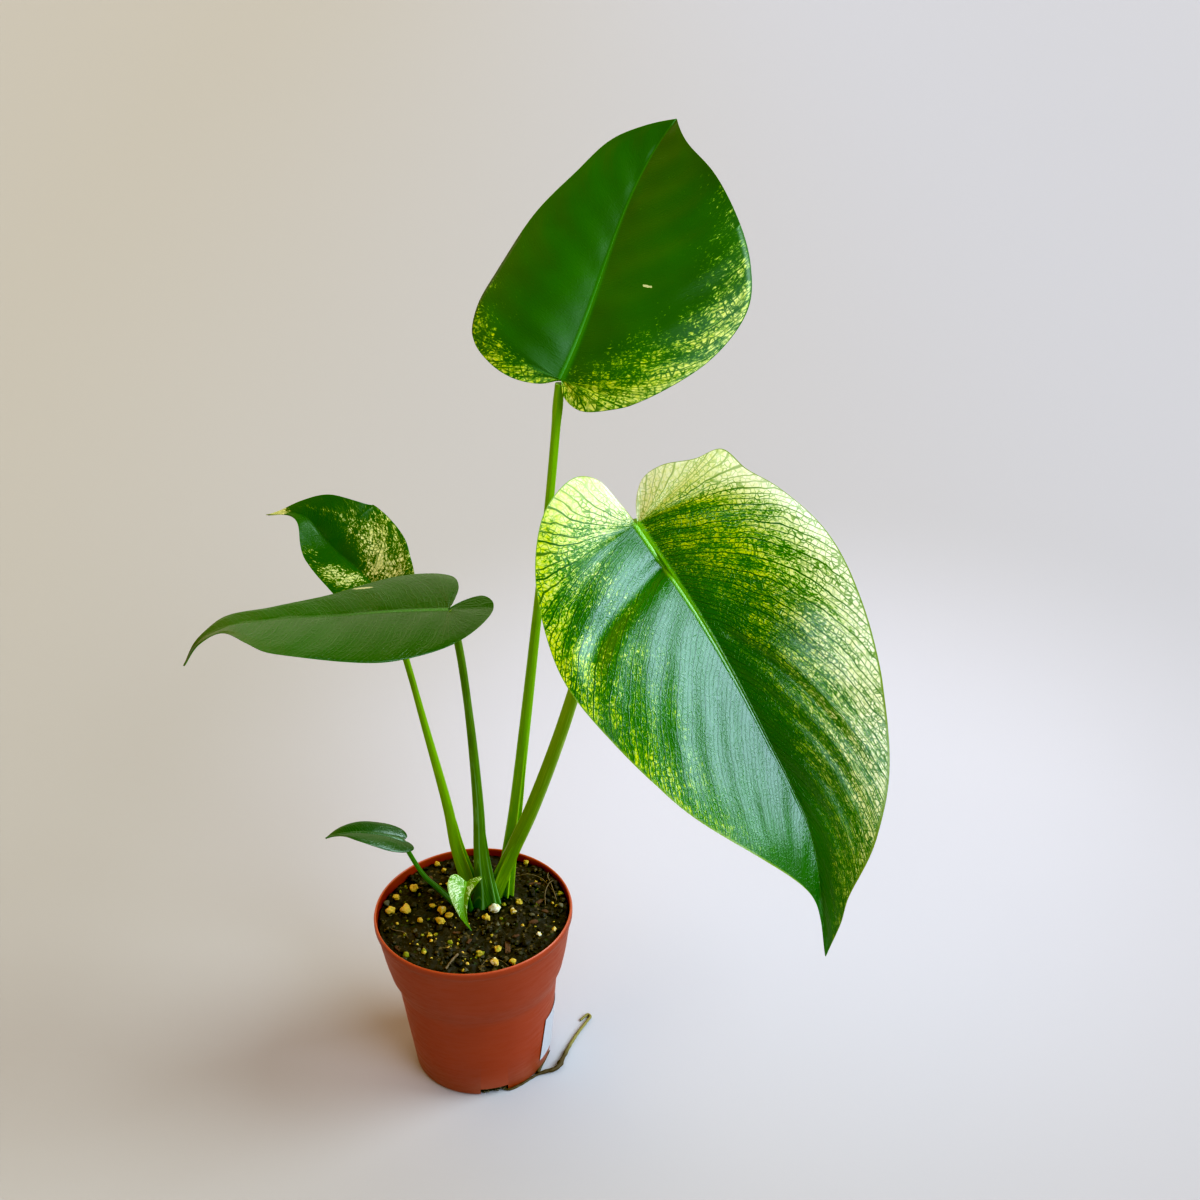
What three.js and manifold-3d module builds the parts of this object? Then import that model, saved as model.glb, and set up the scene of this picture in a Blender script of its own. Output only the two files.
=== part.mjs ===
// A young monstera with cream-netted leaves, growing in a round plastic nursery pot.
// Millimetres, +Z up. The pot stands on z = 0 with its axis on the z axis; -Y is the front.
import * as THREE from "three";
import { mergeVertices } from "three/addons/utils/BufferGeometryUtils.js";
import Module from "manifold-3d";

const wasm = await Module();
wasm.setup();

// Driving dimensions
const potTopRadius = 52.5;
const potBaseRadius = 37;
const potHeight = 98;
const potWall = 1.2;
const soilLevel = 90.5;
const bladeThickness = 0.8;
const clearance = 0.3;

const materials = {
  pot: new THREE.MeshStandardMaterial({ color: 0xa8402a, roughness: 0.5 }),
  label: new THREE.MeshStandardMaterial({ color: 0xf2f2ee, roughness: 0.6 }),
  soil: new THREE.MeshStandardMaterial({ color: 0x2a1e16, roughness: 1 }),
  greenBlade: new THREE.MeshStandardMaterial({ color: 0x2f5a2c, roughness: 0.4 }),
  variegatedBlade: new THREE.MeshStandardMaterial({ color: 0x6f9440, roughness: 0.35 }),
  stalk: new THREE.MeshStandardMaterial({ color: 0x6c9a35, roughness: 0.45 }),
  root: new THREE.MeshStandardMaterial({ color: 0x5b4a2c, roughness: 0.8 }),
};

const plant = new THREE.Group();

// Solids and meshes

function solidFrom(geometry) {
  const bare = geometry.clone();
  bare.deleteAttribute("normal");
  bare.deleteAttribute("uv");
  const merged = mergeVertices(bare, 1e-4);
  const corners = merged.index.array;
  const kept = [];
  for (let i = 0; i < corners.length; i += 3) {
    const [a, b, c] = corners.slice(i, i + 3);
    if (a !== b && b !== c && c !== a) kept.push(a, b, c);
  }
  return new wasm.Manifold(new wasm.Mesh({
    numProp: 3,
    vertProperties: new Float32Array(merged.attributes.position.array),
    triVerts: new Uint32Array(kept),
  }));
}

function largestPiece(solid) {
  const pieces = solid.decompose();
  return pieces.reduce((best, piece) => (piece.volume() > best.volume() ? piece : best));
}

function addPiece(name, solid, material) {
  const { vertProperties, triVerts } = largestPiece(solid).getMesh();
  const geometry = new THREE.BufferGeometry();
  geometry.setAttribute("position", new THREE.BufferAttribute(new Float32Array(vertProperties), 3));
  geometry.setIndex(new THREE.BufferAttribute(new Uint32Array(triVerts), 1));
  geometry.computeVertexNormals();
  const mesh = new THREE.Mesh(geometry, material);
  mesh.name = name;
  plant.add(mesh);
}

// A closed body through rings of points, each ring with the same count, with flat ends
function loft(rings) {
  const count = rings[0].length;
  const corners = [];
  const last = rings.length - 1;
  for (let i = 0; i < last; i += 1) {
    for (let j = 0; j < count; j += 1) {
      const a = i * count + j;
      const b = i * count + ((j + 1) % count);
      corners.push(a, b, a + count, b, b + count, a + count);
    }
  }
  for (let j = 1; j < count - 1; j += 1) {
    corners.push(0, j + 1, j);
    corners.push(last * count, last * count + j, last * count + j + 1);
  }
  const geometry = new THREE.BufferGeometry().setFromPoints(rings.flat());
  geometry.setIndex(corners);
  return solidFrom(geometry);
}

// The same numbers come out each time, so grains and bumps stay where they are
function makeDice(seed) {
  let state = seed;
  return () => {
    state = (state * 16807) % 2147483647;
    return state / 2147483647;
  };
}

const radians = THREE.MathUtils.degToRad;
const lerp = THREE.MathUtils.lerp;

// Leaf blades
//
// A blade is a thin sheet bent round its midrib. A point of it is given by how far it lies along
// the midrib from the notch where the stalk joins, how far across, and how high off the sheet.
// Across is positive on the right-hand side, seen from the upper face with the tip ahead. Each
// pair of values below is [left side, right side].

function shapeBlade(leaf) {
  const curve = leaf.midrib.length === 4
    ? new THREE.CubicBezierCurve3(...leaf.midrib.map((p) => new THREE.Vector3(...p)))
    : new THREE.CatmullRomCurve3(leaf.midrib.map((p) => new THREE.Vector3(...p)));
  curve.arcLengthDivisions = 400;
  return { ...leaf, curve, length: curve.getLength() };
}

function bladePoint(leaf, along, across, lift = 0) {
  const side = across < 0 ? 0 : 1;
  const outward = Math.abs(across);
  const behind = Math.max(-along, 0);
  const t = THREE.MathUtils.clamp(along / leaf.length, 0, 1);
  const tangent = leaf.curve.getTangentAt(t);
  const spot = leaf.curve.getPointAt(t).addScaledVector(tangent, -behind);
  const facing = new THREE.Vector3(...leaf.facing[0]).lerp(new THREE.Vector3(...leaf.facing[1]), t);
  facing.addScaledVector(tangent, -facing.dot(tangent)).normalize();
  const right = new THREE.Vector3().crossVectors(tangent, facing);
  const fold = radians(lerp(leaf.fold[side], leaf.tipFold[side], t));
  const bend = -radians(leaf.curl[side]) / leaf.halfWidth;
  const sideways = (Math.sin(fold + bend * outward) - Math.sin(fold)) / bend;
  const reach = outward / leaf.halfWidth;
  const ripple = leaf.ripple * reach * reach * Math.sin(along / leaf.rippleLength + 2 * side);
  const height = (Math.cos(fold) - Math.cos(fold + bend * outward)) / bend + ripple + lift;
  return spot.addScaledVector(right, Math.sign(across) * sideways).addScaledVector(facing, height);
}

// The margin of one half, matched to the places on the midrib that its side veins leave from.
// The veins of a basal lobe all leave from the notch, so the lobe is a fan.
const veinLean = 0.6;

function marginRows(leaf, side, lobeRows, bodyRows) {
  const sign = side === 0 ? -1 : 1;
  const margin = new THREE.SplineCurve(leaf.margin[side].map(([u, v]) => new THREE.Vector2(u, sign * v)));
  const points = margin.getSpacedPoints(400);
  const rootOf = (p) => p.x - veinLean * p.y * sign;
  let shoulder = points.length - 1;
  while (shoulder > 0 && rootOf(points[shoulder - 1]) > 0) shoulder -= 1;
  const rows = [];
  for (let i = 0; i <= lobeRows; i += 1) {
    rows.push({ root: 0, edge: points[Math.round((i / lobeRows) * shoulder)] });
  }
  let at = shoulder;
  for (let i = 1; i <= bodyRows; i += 1) {
    const root = leaf.length * (i / bodyRows);
    while (at < points.length - 1 && rootOf(points[at]) < root) at += 1;
    rows.push({ root, edge: i === bodyRows ? new THREE.Vector2(leaf.length, 0) : points[at] });
  }
  return rows;
}

function bladeSheet(leaf, grow) {
  const { lobeRows, bodyRows, columns } = leaf;
  const positions = [];
  const corners = [];
  const lift = bladeThickness / 2 + grow;
  const vertex = (along, across, height) => {
    const p = bladePoint(leaf, along, across, height);
    positions.push(p.x, p.y, p.z);
    return positions.length / 3 - 1;
  };
  const face = (a, b, c, flip) => corners.push(...(flip ? [a, c, b] : [a, b, c]));
  for (const side of [0, 1]) {
    const flip = side === 1;
    const rows = marginRows(leaf, side, lobeRows, bodyRows);
    const grid = rows.map(({ root, edge }) => {
      const line = [];
      for (let j = 0; j <= columns; j += 1) {
        const s = j / columns;
        const along = root + (edge.x - root) * s ** leaf.veinBow;
        line.push([vertex(along, edge.y * s, lift), vertex(along, edge.y * s, -lift)]);
      }
      return line;
    });
    for (let i = 0; i < grid.length - 1; i += 1) {
      for (let j = 0; j < columns; j += 1) {
        const [a, b] = [grid[i][j], grid[i][j + 1]];
        const [c, d] = [grid[i + 1][j], grid[i + 1][j + 1]];
        face(a[0], c[0], b[0], flip);
        face(b[0], c[0], d[0], flip);
        face(a[1], b[1], c[1], flip);
        face(b[1], d[1], c[1], flip);
      }
      const [a, c] = [grid[i][columns], grid[i + 1][columns]];
      face(a[0], c[0], a[1], flip);
      face(a[1], c[0], c[1], flip);
    }
  }
  const geometry = new THREE.BufferGeometry();
  geometry.setAttribute("position", new THREE.Float32BufferAttribute(positions, 3));
  geometry.setIndex(corners);
  return solidFrom(geometry);
}

// The midrib stands out of both faces, more so underneath, and thins to a thread near the tip
const rib = { reach: 0.93, endRadius: 0.7, sunk: 0.35, steps: 9, sides: 6 };

function midribTube(leaf, grow) {
  const { steps, sides } = rib;
  const flat = { ...leaf, fold: [0.1, 0.1], tipFold: [0.1, 0.1] };
  const rings = [];
  for (let i = 0; i <= steps; i += 1) {
    const t = i / steps;
    const along = lerp(-leaf.ribRadius, leaf.length * rib.reach, t);
    const radius = lerp(leaf.ribRadius, rib.endRadius, t ** 0.8) + grow;
    const ring = [];
    for (let j = 0; j < sides; j += 1) {
      const angle = (-2 * Math.PI * j) / sides;
      const rise = radius * Math.sin(angle) - leaf.ribRadius * rib.sunk * (1 - t);
      ring.push(bladePoint(flat, along, radius * Math.cos(angle), rise));
    }
    rings.push(ring);
  }
  return loft(rings);
}

function bladeSolid(leaf, grow = 0) {
  return bladeSheet(leaf, grow).add(midribTube(leaf, grow));
}

const leafDefaults = {
  fold: [12, 12],
  tipFold: [12, 12],
  curl: [25, 25],
  ripple: 0,
  rippleLength: 12,
  veinBow: 1.35,
  lobeRows: 5,
  bodyRows: 13,
  columns: 4,
};

const leaves = {
  // The newest leaf stands highest and leans back
  top: shapeBlade({
    ...leafDefaults,
    midrib: [[56.7, 20, 387.4], [79.3, 45, 424], [84.4, 95.3, 449.2], [115.2, 118, 480.5]],
    facing: [[-0.1, -0.75, 0.66], [-0.1, -0.3, 0.95]],
    fold: [20, 10],
    tipFold: [20, 10],
    curl: [40, 25],
    halfWidth: 60,
    ribRadius: 2,
    ripple: 1.2,
    margin: [
      [
        [0, 0], [-6, 8], [-9, 20], [-7, 33], [1, 46], [20, 51], [45, 49], [76, 42],
        [104, 30], [125, 22], [138, 11], [148.4, 0],
      ],
      [
        [0, 0], [-7, 5], [-10, 15], [-4, 28], [10, 45], [31, 62], [56, 71], [76, 67],
        [102, 54], [125, 35], [138, 14], [148.4, 0],
      ],
    ],
  }),
  // The largest leaf hangs forward with its upper face to the front
  large: shapeBlade({
    ...leafDefaults,
    midrib: [
      [89, -40, 342.5], [117, -65.5, 305], [141.5, -87, 262.5], [162.5, -107.5, 217.5], [167.5, -128, 169],
    ],
    facing: [[-0.1, -0.8, 0.55], [-0.1, -0.8, 0.55]],
    fold: [18, 22],
    tipFold: [30, 30],
    halfWidth: 75,
    ribRadius: 2.4,
    ripple: 1.5,
    rippleLength: 9,
    lobeRows: 7,
    bodyRows: 19,
    columns: 5,
    margin: [
      [
        [0, 0], [-9, 6], [-15, 14], [-15, 24], [-9, 38], [-6, 50], [8, 54], [23, 61],
        [48, 68], [75, 66], [109, 58], [141, 45], [163, 30], [185, 14], [198, 9], [214.4, 0],
      ],
      [
        [0, 0], [-14, 1.5], [-26, 4], [-32, 12], [-28, 29], [-17, 42], [5, 56], [38, 66],
        [77, 62], [122, 47], [162, 24], [186, 4], [196, 1], [214.4, 0],
      ],
    ],
  }),
  // A small marked leaf at the back, with a long drip tip
  back: shapeBlade({
    ...leafDefaults,
    midrib: [
      [-39, 60, 254.5], [-53, 71.5, 263.5], [-68, 81.5, 273.5], [-82.5, 89.5, 287.5], [-99.5, 94, 287],
    ],
    facing: [[-0.2, -0.7, 0.7], [-0.2, -0.5, 0.8]],
    fold: [40, 10],
    tipFold: [30, 10],
    halfWidth: 35,
    ribRadius: 1.3,
    margin: [
      [
        [0, 0], [-9, 5], [-12, 13], [-2, 20], [19, 20], [40, 17], [50, 13], [62, 6], [71, 2],
        [82, 0],
      ],
      [
        [0, 0], [-8, 7], [-8, 15], [-2, 20], [5, 24], [15, 29], [33, 32], [45, 30], [58, 19],
        [65, 8], [72, 3], [82, 0],
      ],
    ],
  }),
  // A plain dark leaf that lies almost level, its tip curling down
  level: shapeBlade({
    ...leafDefaults,
    midrib: [
      [-3, 20, 268], [-30, 17, 269.5], [-57, 12.5, 270.5], [-85, 7.5, 272.5], [-111.5, 2.5, 271],
      [-122.5, 0, 265.5], [-131, -2, 253.5],
    ],
    facing: [[0, -0.12, 1], [0, -0.12, 1]],
    fold: [2, 12],
    tipFold: [6, 14],
    curl: [20, 25],
    halfWidth: 45,
    ribRadius: 1.6,
    margin: [
      [
        [0, 0], [-6, -4], [-13, -8], [-18, -9], [-22, -5], [-22, 1], [-16, 12], [-5, 23],
        [10, 31], [33, 36], [58, 33], [89, 25], [99, 16], [110, 4], [122, 2.5], [138, 0],
      ],
      [
        [0, 0], [-3, 6], [-6, 17], [-4, 25], [3, 28.5], [20, 28], [41, 21], [61, 14],
        [85, 8.5], [107, 7], [118, 3], [138, 0],
      ],
    ],
  }),
  // Two leaves no longer than a thumb, from when the plant was young
  low: shapeBlade({
    ...leafDefaults,
    midrib: [[-35.7, 16, 131.5], [-46, 13.8, 138], [-60, 11, 144.5], [-74.9, 8, 140.4]],
    facing: [[0, -0.25, 0.97], [0, -0.25, 0.97]],
    halfWidth: 14,
    ribRadius: 0.9,
    lobeRows: 4,
    bodyRows: 10,
    columns: 2,
    margin: [
      [
        [0, 0], [-5, 1], [-6, 4], [-1, 8], [8, 10], [17, 9], [26, 6], [33, 2], [42, 0],
      ],
      [
        [0, 0], [-2, 3], [0, 6], [6, 7.5], [14, 7.5], [24, 6.8], [34, 4], [42, 0],
      ],
    ],
  }),
  tiny: shapeBlade({
    ...leafDefaults,
    midrib: [[-2.3, -4, 118.5], [-3.8, -12.6, 115.6], [-5.1, -16.7, 105.2], [0.4, -19, 98.4]],
    facing: [[0.2, -0.9, 0.3], [0.2, -0.9, 0.3]],
    fold: [60, 10],
    tipFold: [30, 10],
    halfWidth: 12,
    ribRadius: 0.8,
    lobeRows: 4,
    bodyRows: 8,
    columns: 2,
    margin: [
      [
        [0, 0], [-2, 5], [-2, 9], [3, 8], [8, 6], [14, 4.5], [21, 2], [27, 0],
      ],
      [
        [0, 0], [-1, 3], [-2, 6], [0, 9], [4, 9.5], [9, 7], [14, 4.5], [21, 1.5], [27, 0],
      ],
    ],
  }),
};

// Leaf stalks
//
// A stalk is a tapered tube. Its lower part has a sheath: a thin wing that stands out on the side
// it opens to, widest at the soil and ending in a free tip.

const stalks = {
  top: {
    path: [
      [13, 18, 78], [15.5, 18, 94], [18.5, 18.5, 115], [24, 19, 147], [32, 20, 202],
      [38.5, 20, 249], [49, 20, 326], [56, 20, 385.5],
    ],
    baseRadius: 4.2,
    topRadius: 2.1,
    sheathLength: 112,
    sheathWidth: 3,
    opens: [0.5, -0.85, 0],
  },
  large: {
    path: [
      [12, 15, 78], [15.5, 14, 95], [22, 10, 124], [33, 4, 157], [50, -6, 210],
      [71.5, -23.5, 290], [84, -31, 330], [89.3, -38.6, 341.7],
    ],
    baseRadius: 5,
    topRadius: 3,
    sheathLength: 60,
    sheathWidth: 3.5,
    opens: [-0.7, -0.7, 0],
  },
  back: {
    path: [
      [1, 17, 78], [-3.5, 18, 99], [-9, 23.5, 121], [-12, 29, 141], [-22, 41, 187],
      [-30.5, 51.5, 224], [-39, 60, 254.5],
    ],
    baseRadius: 4.2,
    topRadius: 1.7,
    sheathLength: 62,
    sheathWidth: 3.2,
    opens: [0.9, -0.4, 0],
  },
  level: {
    path: [
      [4, 8, 78], [5.5, 8, 99], [5, 10, 128], [5.5, 12, 153], [4, 15.5, 206], [0.5, 19, 251],
      [-3, 20, 268],
    ],
    baseRadius: 4.6,
    topRadius: 2,
    sheathLength: 56,
    sheathWidth: 6,
    opens: [0.9, -0.45, 0],
  },
  low: {
    path: [
      [-4, 7.5, 80], [-10, 7, 95], [-18, 9.5, 103.5], [-25.5, 11.5, 111], [-33, 15, 124],
      [-35.7, 16, 131],
    ],
    baseRadius: 2.1,
    topRadius: 1.2,
    sheathLength: 20,
    sheathWidth: 1,
    opens: [0, -1, 0],
  },
  tiny: {
    path: [[0, 7, 80], [-1.5, 3, 95], [-2.2, -1, 108], [-2.3, -3.6, 118]],
    baseRadius: 1.8,
    topRadius: 1,
    sheathLength: 16,
    sheathWidth: 1,
    opens: [0, -1, 0],
  },
};

const sheathTipWidth = 1.2;

function stalkSolid(stalk, grow = 0) {
  const curve = new THREE.CatmullRomCurve3(stalk.path.map((p) => new THREE.Vector3(...p)));
  const length = curve.getLength();
  const steps = Math.max(6, Math.round(length / 13));
  const sides = 10;
  const front = new THREE.Vector3(...stalk.opens);
  const rings = [];
  for (let i = 0; i <= steps; i += 1) {
    const t = i / steps;
    const centre = curve.getPointAt(t);
    const tangent = curve.getTangentAt(t);
    front.addScaledVector(tangent, -front.dot(tangent)).normalize();
    const beside = new THREE.Vector3().crossVectors(tangent, front);
    const radius = lerp(stalk.baseRadius, stalk.topRadius, Math.min(1, t * 1.4) ** 0.7) + grow;
    const up = (t * length) / stalk.sheathLength;
    const wing = up < 1 ? sheathTipWidth + (stalk.sheathWidth - sheathTipWidth) * (1 - up) : 0;
    const ring = [];
    for (let j = 0; j < sides; j += 1) {
      const angle = (2 * Math.PI * j) / sides;
      const reach = radius + wing * Math.max(0, Math.cos(angle)) ** 5;
      ring.push(centre.clone()
        .addScaledVector(front, reach * Math.cos(angle))
        .addScaledVector(beside, reach * Math.sin(angle)));
    }
    rings.push(ring);
  }
  return loft(rings);
}

// The short stem that the stalks grow from, almost all of it in the soil
const crown = { centre: [6, 14, 82], radii: [12.5, 10.5, 13] };

function crownSolid(grow = 0) {
  const ball = new THREE.SphereGeometry(1, 16, 10);
  const [rx, ry, rz] = crown.radii.map((r) => r + grow);
  ball.rotateX(Math.PI / 2).scale(rx, ry, rz).translate(...crown.centre);
  return solidFrom(ball);
}

// The pot: a cup turned from a closed profile, with drain notches cut through the bottom corner

const wallProfile = [
  [potBaseRadius - 1.6, 0],
  [potBaseRadius, 1.6],
  [42.6, 53],
  [43.6, 57],
  [46.6, 65],
  [48.5, 74],
  [50.3, 85],
  [51.4, 92.5],
  [potTopRadius, 94.5],
  [potTopRadius, 97.2],
];
const drain = { count: 3, width: 15, height: 4.5, depth: 9, firstAngle: 12 };

function potSolid() {
  const inner = wallProfile.slice(2).reverse().map(([r, z]) => [r - potWall, z]);
  inner[0] = [potTopRadius - potWall - 0.6, 97.2];
  inner[1] = [potTopRadius - potWall - 0.9, 94];
  const profile = [[0, 0], ...wallProfile, [potTopRadius - 0.9, potHeight], ...inner];
  profile.push([potBaseRadius - potWall, potWall], [0, potWall]);
  const cup = new THREE.LatheGeometry(profile.map(([r, z]) => new THREE.Vector2(r, z)), 48);
  cup.rotateX(Math.PI / 2);
  let solid = solidFrom(cup);
  for (let i = 0; i < drain.count; i += 1) {
    const notch = new THREE.BoxGeometry(drain.width, drain.depth * 2, drain.height * 2);
    notch.translate(0, -potBaseRadius, 0);
    notch.rotateZ(radians(drain.firstAngle + (360 / drain.count) * i));
    solid = solid.subtract(solidFrom(notch));
  }
  return solid;
}

// The blank label: a thin curved patch that lies on the wall under the collar

const labelPatch = { from: 57, to: 100, lean: 5, bottom: 8.5, top: 42, thickness: 0.35 };

function labelSolid() {
  const { bottom, top, lean, thickness } = labelPatch;
  const steps = 8;
  const slope = (42.6 - potBaseRadius) / (53 - 1.6);
  const wallAt = (z) => potBaseRadius + slope * (z - 1.6) + clearance;
  const rings = [];
  for (let i = 0; i <= steps; i += 1) {
    const turn = lerp(labelPatch.from, labelPatch.to, i / steps);
    const corner = (z, out) => {
      const angle = radians(turn + (lean * (z - bottom)) / (top - bottom) - 90);
      const r = wallAt(z) + out;
      return new THREE.Vector3(r * Math.cos(angle), r * Math.sin(angle), z);
    };
    rings.push([corner(bottom, 0), corner(top, 0), corner(top, thickness), corner(bottom, thickness)]);
  }
  return loft(rings);
}

// The soil fills the pot. Its top is uneven, with pale grains, bark chips and a twig set in it.

function soilBody() {
  const around = 36;
  const topRings = 7;
  const dice = makeDice(11);
  const inside = (r, z) => [r - potWall - clearance, z];
  const side = [
    [0, potWall + clearance],
    inside(potBaseRadius - 0.2, potWall + clearance),
    inside(42.6, 53),
    inside(43.5, 58),
    inside(46.4, 66),
    inside(48.5, 75),
    inside(50.2, soilLevel - 6),
  ];
  const edge = inside(51.1, soilLevel - 1)[0];
  const topProfile = [];
  for (let i = 0; i < topRings; i += 1) topProfile.push([edge * (1 - i / topRings), soilLevel]);
  const profile = [...side, ...topProfile, [0, soilLevel]].map(([r, z]) => new THREE.Vector2(r, z));
  const body = new THREE.LatheGeometry(profile, around);
  body.rotateX(Math.PI / 2);
  body.deleteAttribute("normal");
  body.deleteAttribute("uv");
  const merged = mergeVertices(body, 1e-4);
  const p = merged.attributes.position;
  for (let i = 0; i < p.count; i += 1) {
    if (p.getZ(i) > soilLevel - 0.5) {
      const mound = 1.2 * Math.sin(p.getX(i) / 9) * Math.cos(p.getY(i) / 11);
      p.setZ(i, soilLevel + mound + 1.6 * (dice() - 0.5));
    }
  }
  return solidFrom(merged);
}

// Grains that stand out, as [x, y, size]
const perliteGrains = [
  [11, 5, 6.5],
  [5.5, -1, 4.5],
  [21, 4, 4],
  [24, 12, 4],
  [-34, 25, 5.5],
  [-40, 18, 5],
  [-37, 8, 6],
  [-43.5, 7, 5],
  [-23, 13, 5.5],
  [-17.5, 8, 5],
  [-18, -1, 5.5],
  [-12, 0, 4],
  [-28, 0, 3.5],
  [-18, 42, 4.5],
  [-26, 38, 4],
  [35, -16, 3.5],
  [13.5, -36, 4.5],
  [14, -25, 4.5],
  [-35, -25, 4],
  [-22.5, -13, 3.5],
  [4.7, -29, 4],
  [21, -35, 3.5],
];
const scatteredGrains = 16;

// Chips of bark and one twig, as [x, y, length, width, turn in degrees]
const chips = [
  [18, -23, 12, 3.2, 96],
  [32, 26, 9, 3.4, 20],
  [-40, -17, 8, 3, -40],
  [-9.5, -35, 11, 1.6, 57],
  [30, 5, 8, 4, 120],
  [-5, 36, 9, 3.5, 10],
];

function soilChips() {
  return wasm.Manifold.union(chips.map(([x, y, length, width, turn]) => {
    const chip = new THREE.CylinderGeometry(width / 2, width / 3, length, 6);
    chip.scale(1, 1, 0.7).rotateZ(Math.PI / 2).rotateY(0.06).rotateX(Math.PI / 2);
    chip.rotateZ(radians(turn)).translate(x, y, soilLevel + width * 0.28);
    return solidFrom(chip);
  }));
}

function soilGrains() {
  const dice = makeDice(29);
  const grains = [];
  const place = (x, y, size, squash) => {
    const grain = new THREE.IcosahedronGeometry(size / 2, 0);
    grain.scale(1, 0.7 + 0.5 * dice(), squash);
    grain.rotateX(6 * dice()).rotateZ(6 * dice());
    grain.translate(x, y, soilLevel + size * 0.12);
    grains.push(solidFrom(grain));
  };
  for (const [x, y, size] of perliteGrains) place(x, y, size, 0.9);
  for (let i = 0; i < scatteredGrains; i += 1) {
    const angle = 2 * Math.PI * dice();
    const r = 44 * Math.sqrt(dice());
    place(r * Math.cos(angle), r * Math.sin(angle), 2.5 + 3 * dice(), 0.5);
  }
  return wasm.Manifold.union(grains);
}

// One thin root has grown out of the front drain notch. It follows the bottom corner of the pot
// and then lies on the floor, with a hooked end.
const rootPath = [
  [11.5, -32.5],
  [15.8, -34.4],
  [21.5, -31.8],
  [29.6, -25],
  [34.5, -23.4],
  [38.3, -22.2],
  [41.5, -19.3],
  [44.2, -13.3],
  [48.1, -4.1],
  [52.5, 5.1],
  [56.5, 12.9],
  [58.6, 18.6],
  [57.2, 20],
  [54.6, 17.4],
];
const rootDiameter = 1.3;

function rootSolid(grow = 0) {
  const height = rootDiameter / 2 + 0.1;
  const curve = new THREE.CatmullRomCurve3(rootPath.map(([x, y]) => new THREE.Vector3(x, y, height)));
  const section = new THREE.Shape().absarc(0, 0, rootDiameter / 2 + grow, 0, 2 * Math.PI);
  const tube = new THREE.ExtrudeGeometry(section, { extrudePath: curve, steps: 40, curveSegments: 3 });
  return solidFrom(tube);
}

// Each stalk is cut clear of its own blade, of the crown and of the stalks made before it
const crownPiece = crownSolid();
const stalkPieces = [];
for (const name of Object.keys(stalks)) {
  let stalk = stalkSolid(stalks[name]).subtract(bladeSolid(leaves[name], clearance));
  stalk = stalk.subtract(crownSolid(clearance));
  for (const other of stalkPieces) stalk = stalk.subtract(other.grown);
  stalkPieces.push({ name, solid: largestPiece(stalk), grown: stalkSolid(stalks[name], clearance) });
}

// The soil leaves plain holes for what stands in it
let soil = soilBody().add(soilGrains()).add(soilChips());
soil = soil.subtract(crownSolid(clearance)).subtract(rootSolid(clearance));
for (const { grown } of stalkPieces) soil = soil.subtract(grown);
soil = soil.subtract(bladeSolid(leaves.tiny, clearance));

addPiece("pot", potSolid(), materials.pot);
addPiece("label", labelSolid(), materials.label);
addPiece("soil", soil, materials.soil);
addPiece("root", rootSolid(), materials.root);
addPiece("crown", crownPiece, materials.stalk);
for (const { name, solid } of stalkPieces) addPiece(`stalk_${name}`, solid, materials.stalk);
for (const name of Object.keys(leaves)) {
  const plain = name === "level" || name === "low";
  const finish = plain ? materials.greenBlade : materials.variegatedBlade;
  addPiece(`blade_${name}`, bladeSolid(leaves[name]), finish);
}

export default plant;
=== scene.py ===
"""A young monstera with cream-netted leaves in a plastic nursery pot, made round its CAD frame."""
import math
import random
from types import SimpleNamespace

import bpy
import numpy as np
from mathutils import Matrix, Vector, noise


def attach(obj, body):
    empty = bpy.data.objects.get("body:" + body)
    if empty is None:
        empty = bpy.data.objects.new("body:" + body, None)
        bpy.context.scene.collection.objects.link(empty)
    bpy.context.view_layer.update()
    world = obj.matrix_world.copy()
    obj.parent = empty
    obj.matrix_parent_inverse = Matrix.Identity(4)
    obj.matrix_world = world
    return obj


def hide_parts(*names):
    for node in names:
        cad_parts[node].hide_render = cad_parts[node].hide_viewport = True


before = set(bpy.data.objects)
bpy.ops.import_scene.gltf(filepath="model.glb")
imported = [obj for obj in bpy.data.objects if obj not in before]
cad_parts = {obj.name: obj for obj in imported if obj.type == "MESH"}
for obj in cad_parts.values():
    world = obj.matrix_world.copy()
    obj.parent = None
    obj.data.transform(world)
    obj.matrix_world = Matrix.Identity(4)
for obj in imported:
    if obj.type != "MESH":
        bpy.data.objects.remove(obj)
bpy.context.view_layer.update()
bpy.ops.object.select_all(action="DESELECT")

MM = 0.001


# Camera
# It stands in front of the plant and above it, tilted down at the pot and very slightly rolled.
camera_place = Vector((71.7, -730, 689.9)) * MM
camera_tilt = math.radians(60.83)
camera_roll = math.radians(-1.62)
bpy.ops.object.camera_add(location=camera_place)
camera = bpy.context.object
camera.data.lens = 52.5
camera.data.sensor_width = 36
turned = Matrix.Rotation(camera_tilt, 4, "X") @ Matrix.Rotation(camera_roll, 4, "Z")
camera.rotation_euler = turned.to_euler()
bpy.context.scene.camera = camera


# Pot
# A thin red-brown plastic nursery pot with a wider collar, turned from one wall profile. Three drain
# notches are cut through its bottom corner. The plastic is satin, with a painted highlight on the rim.

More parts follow.
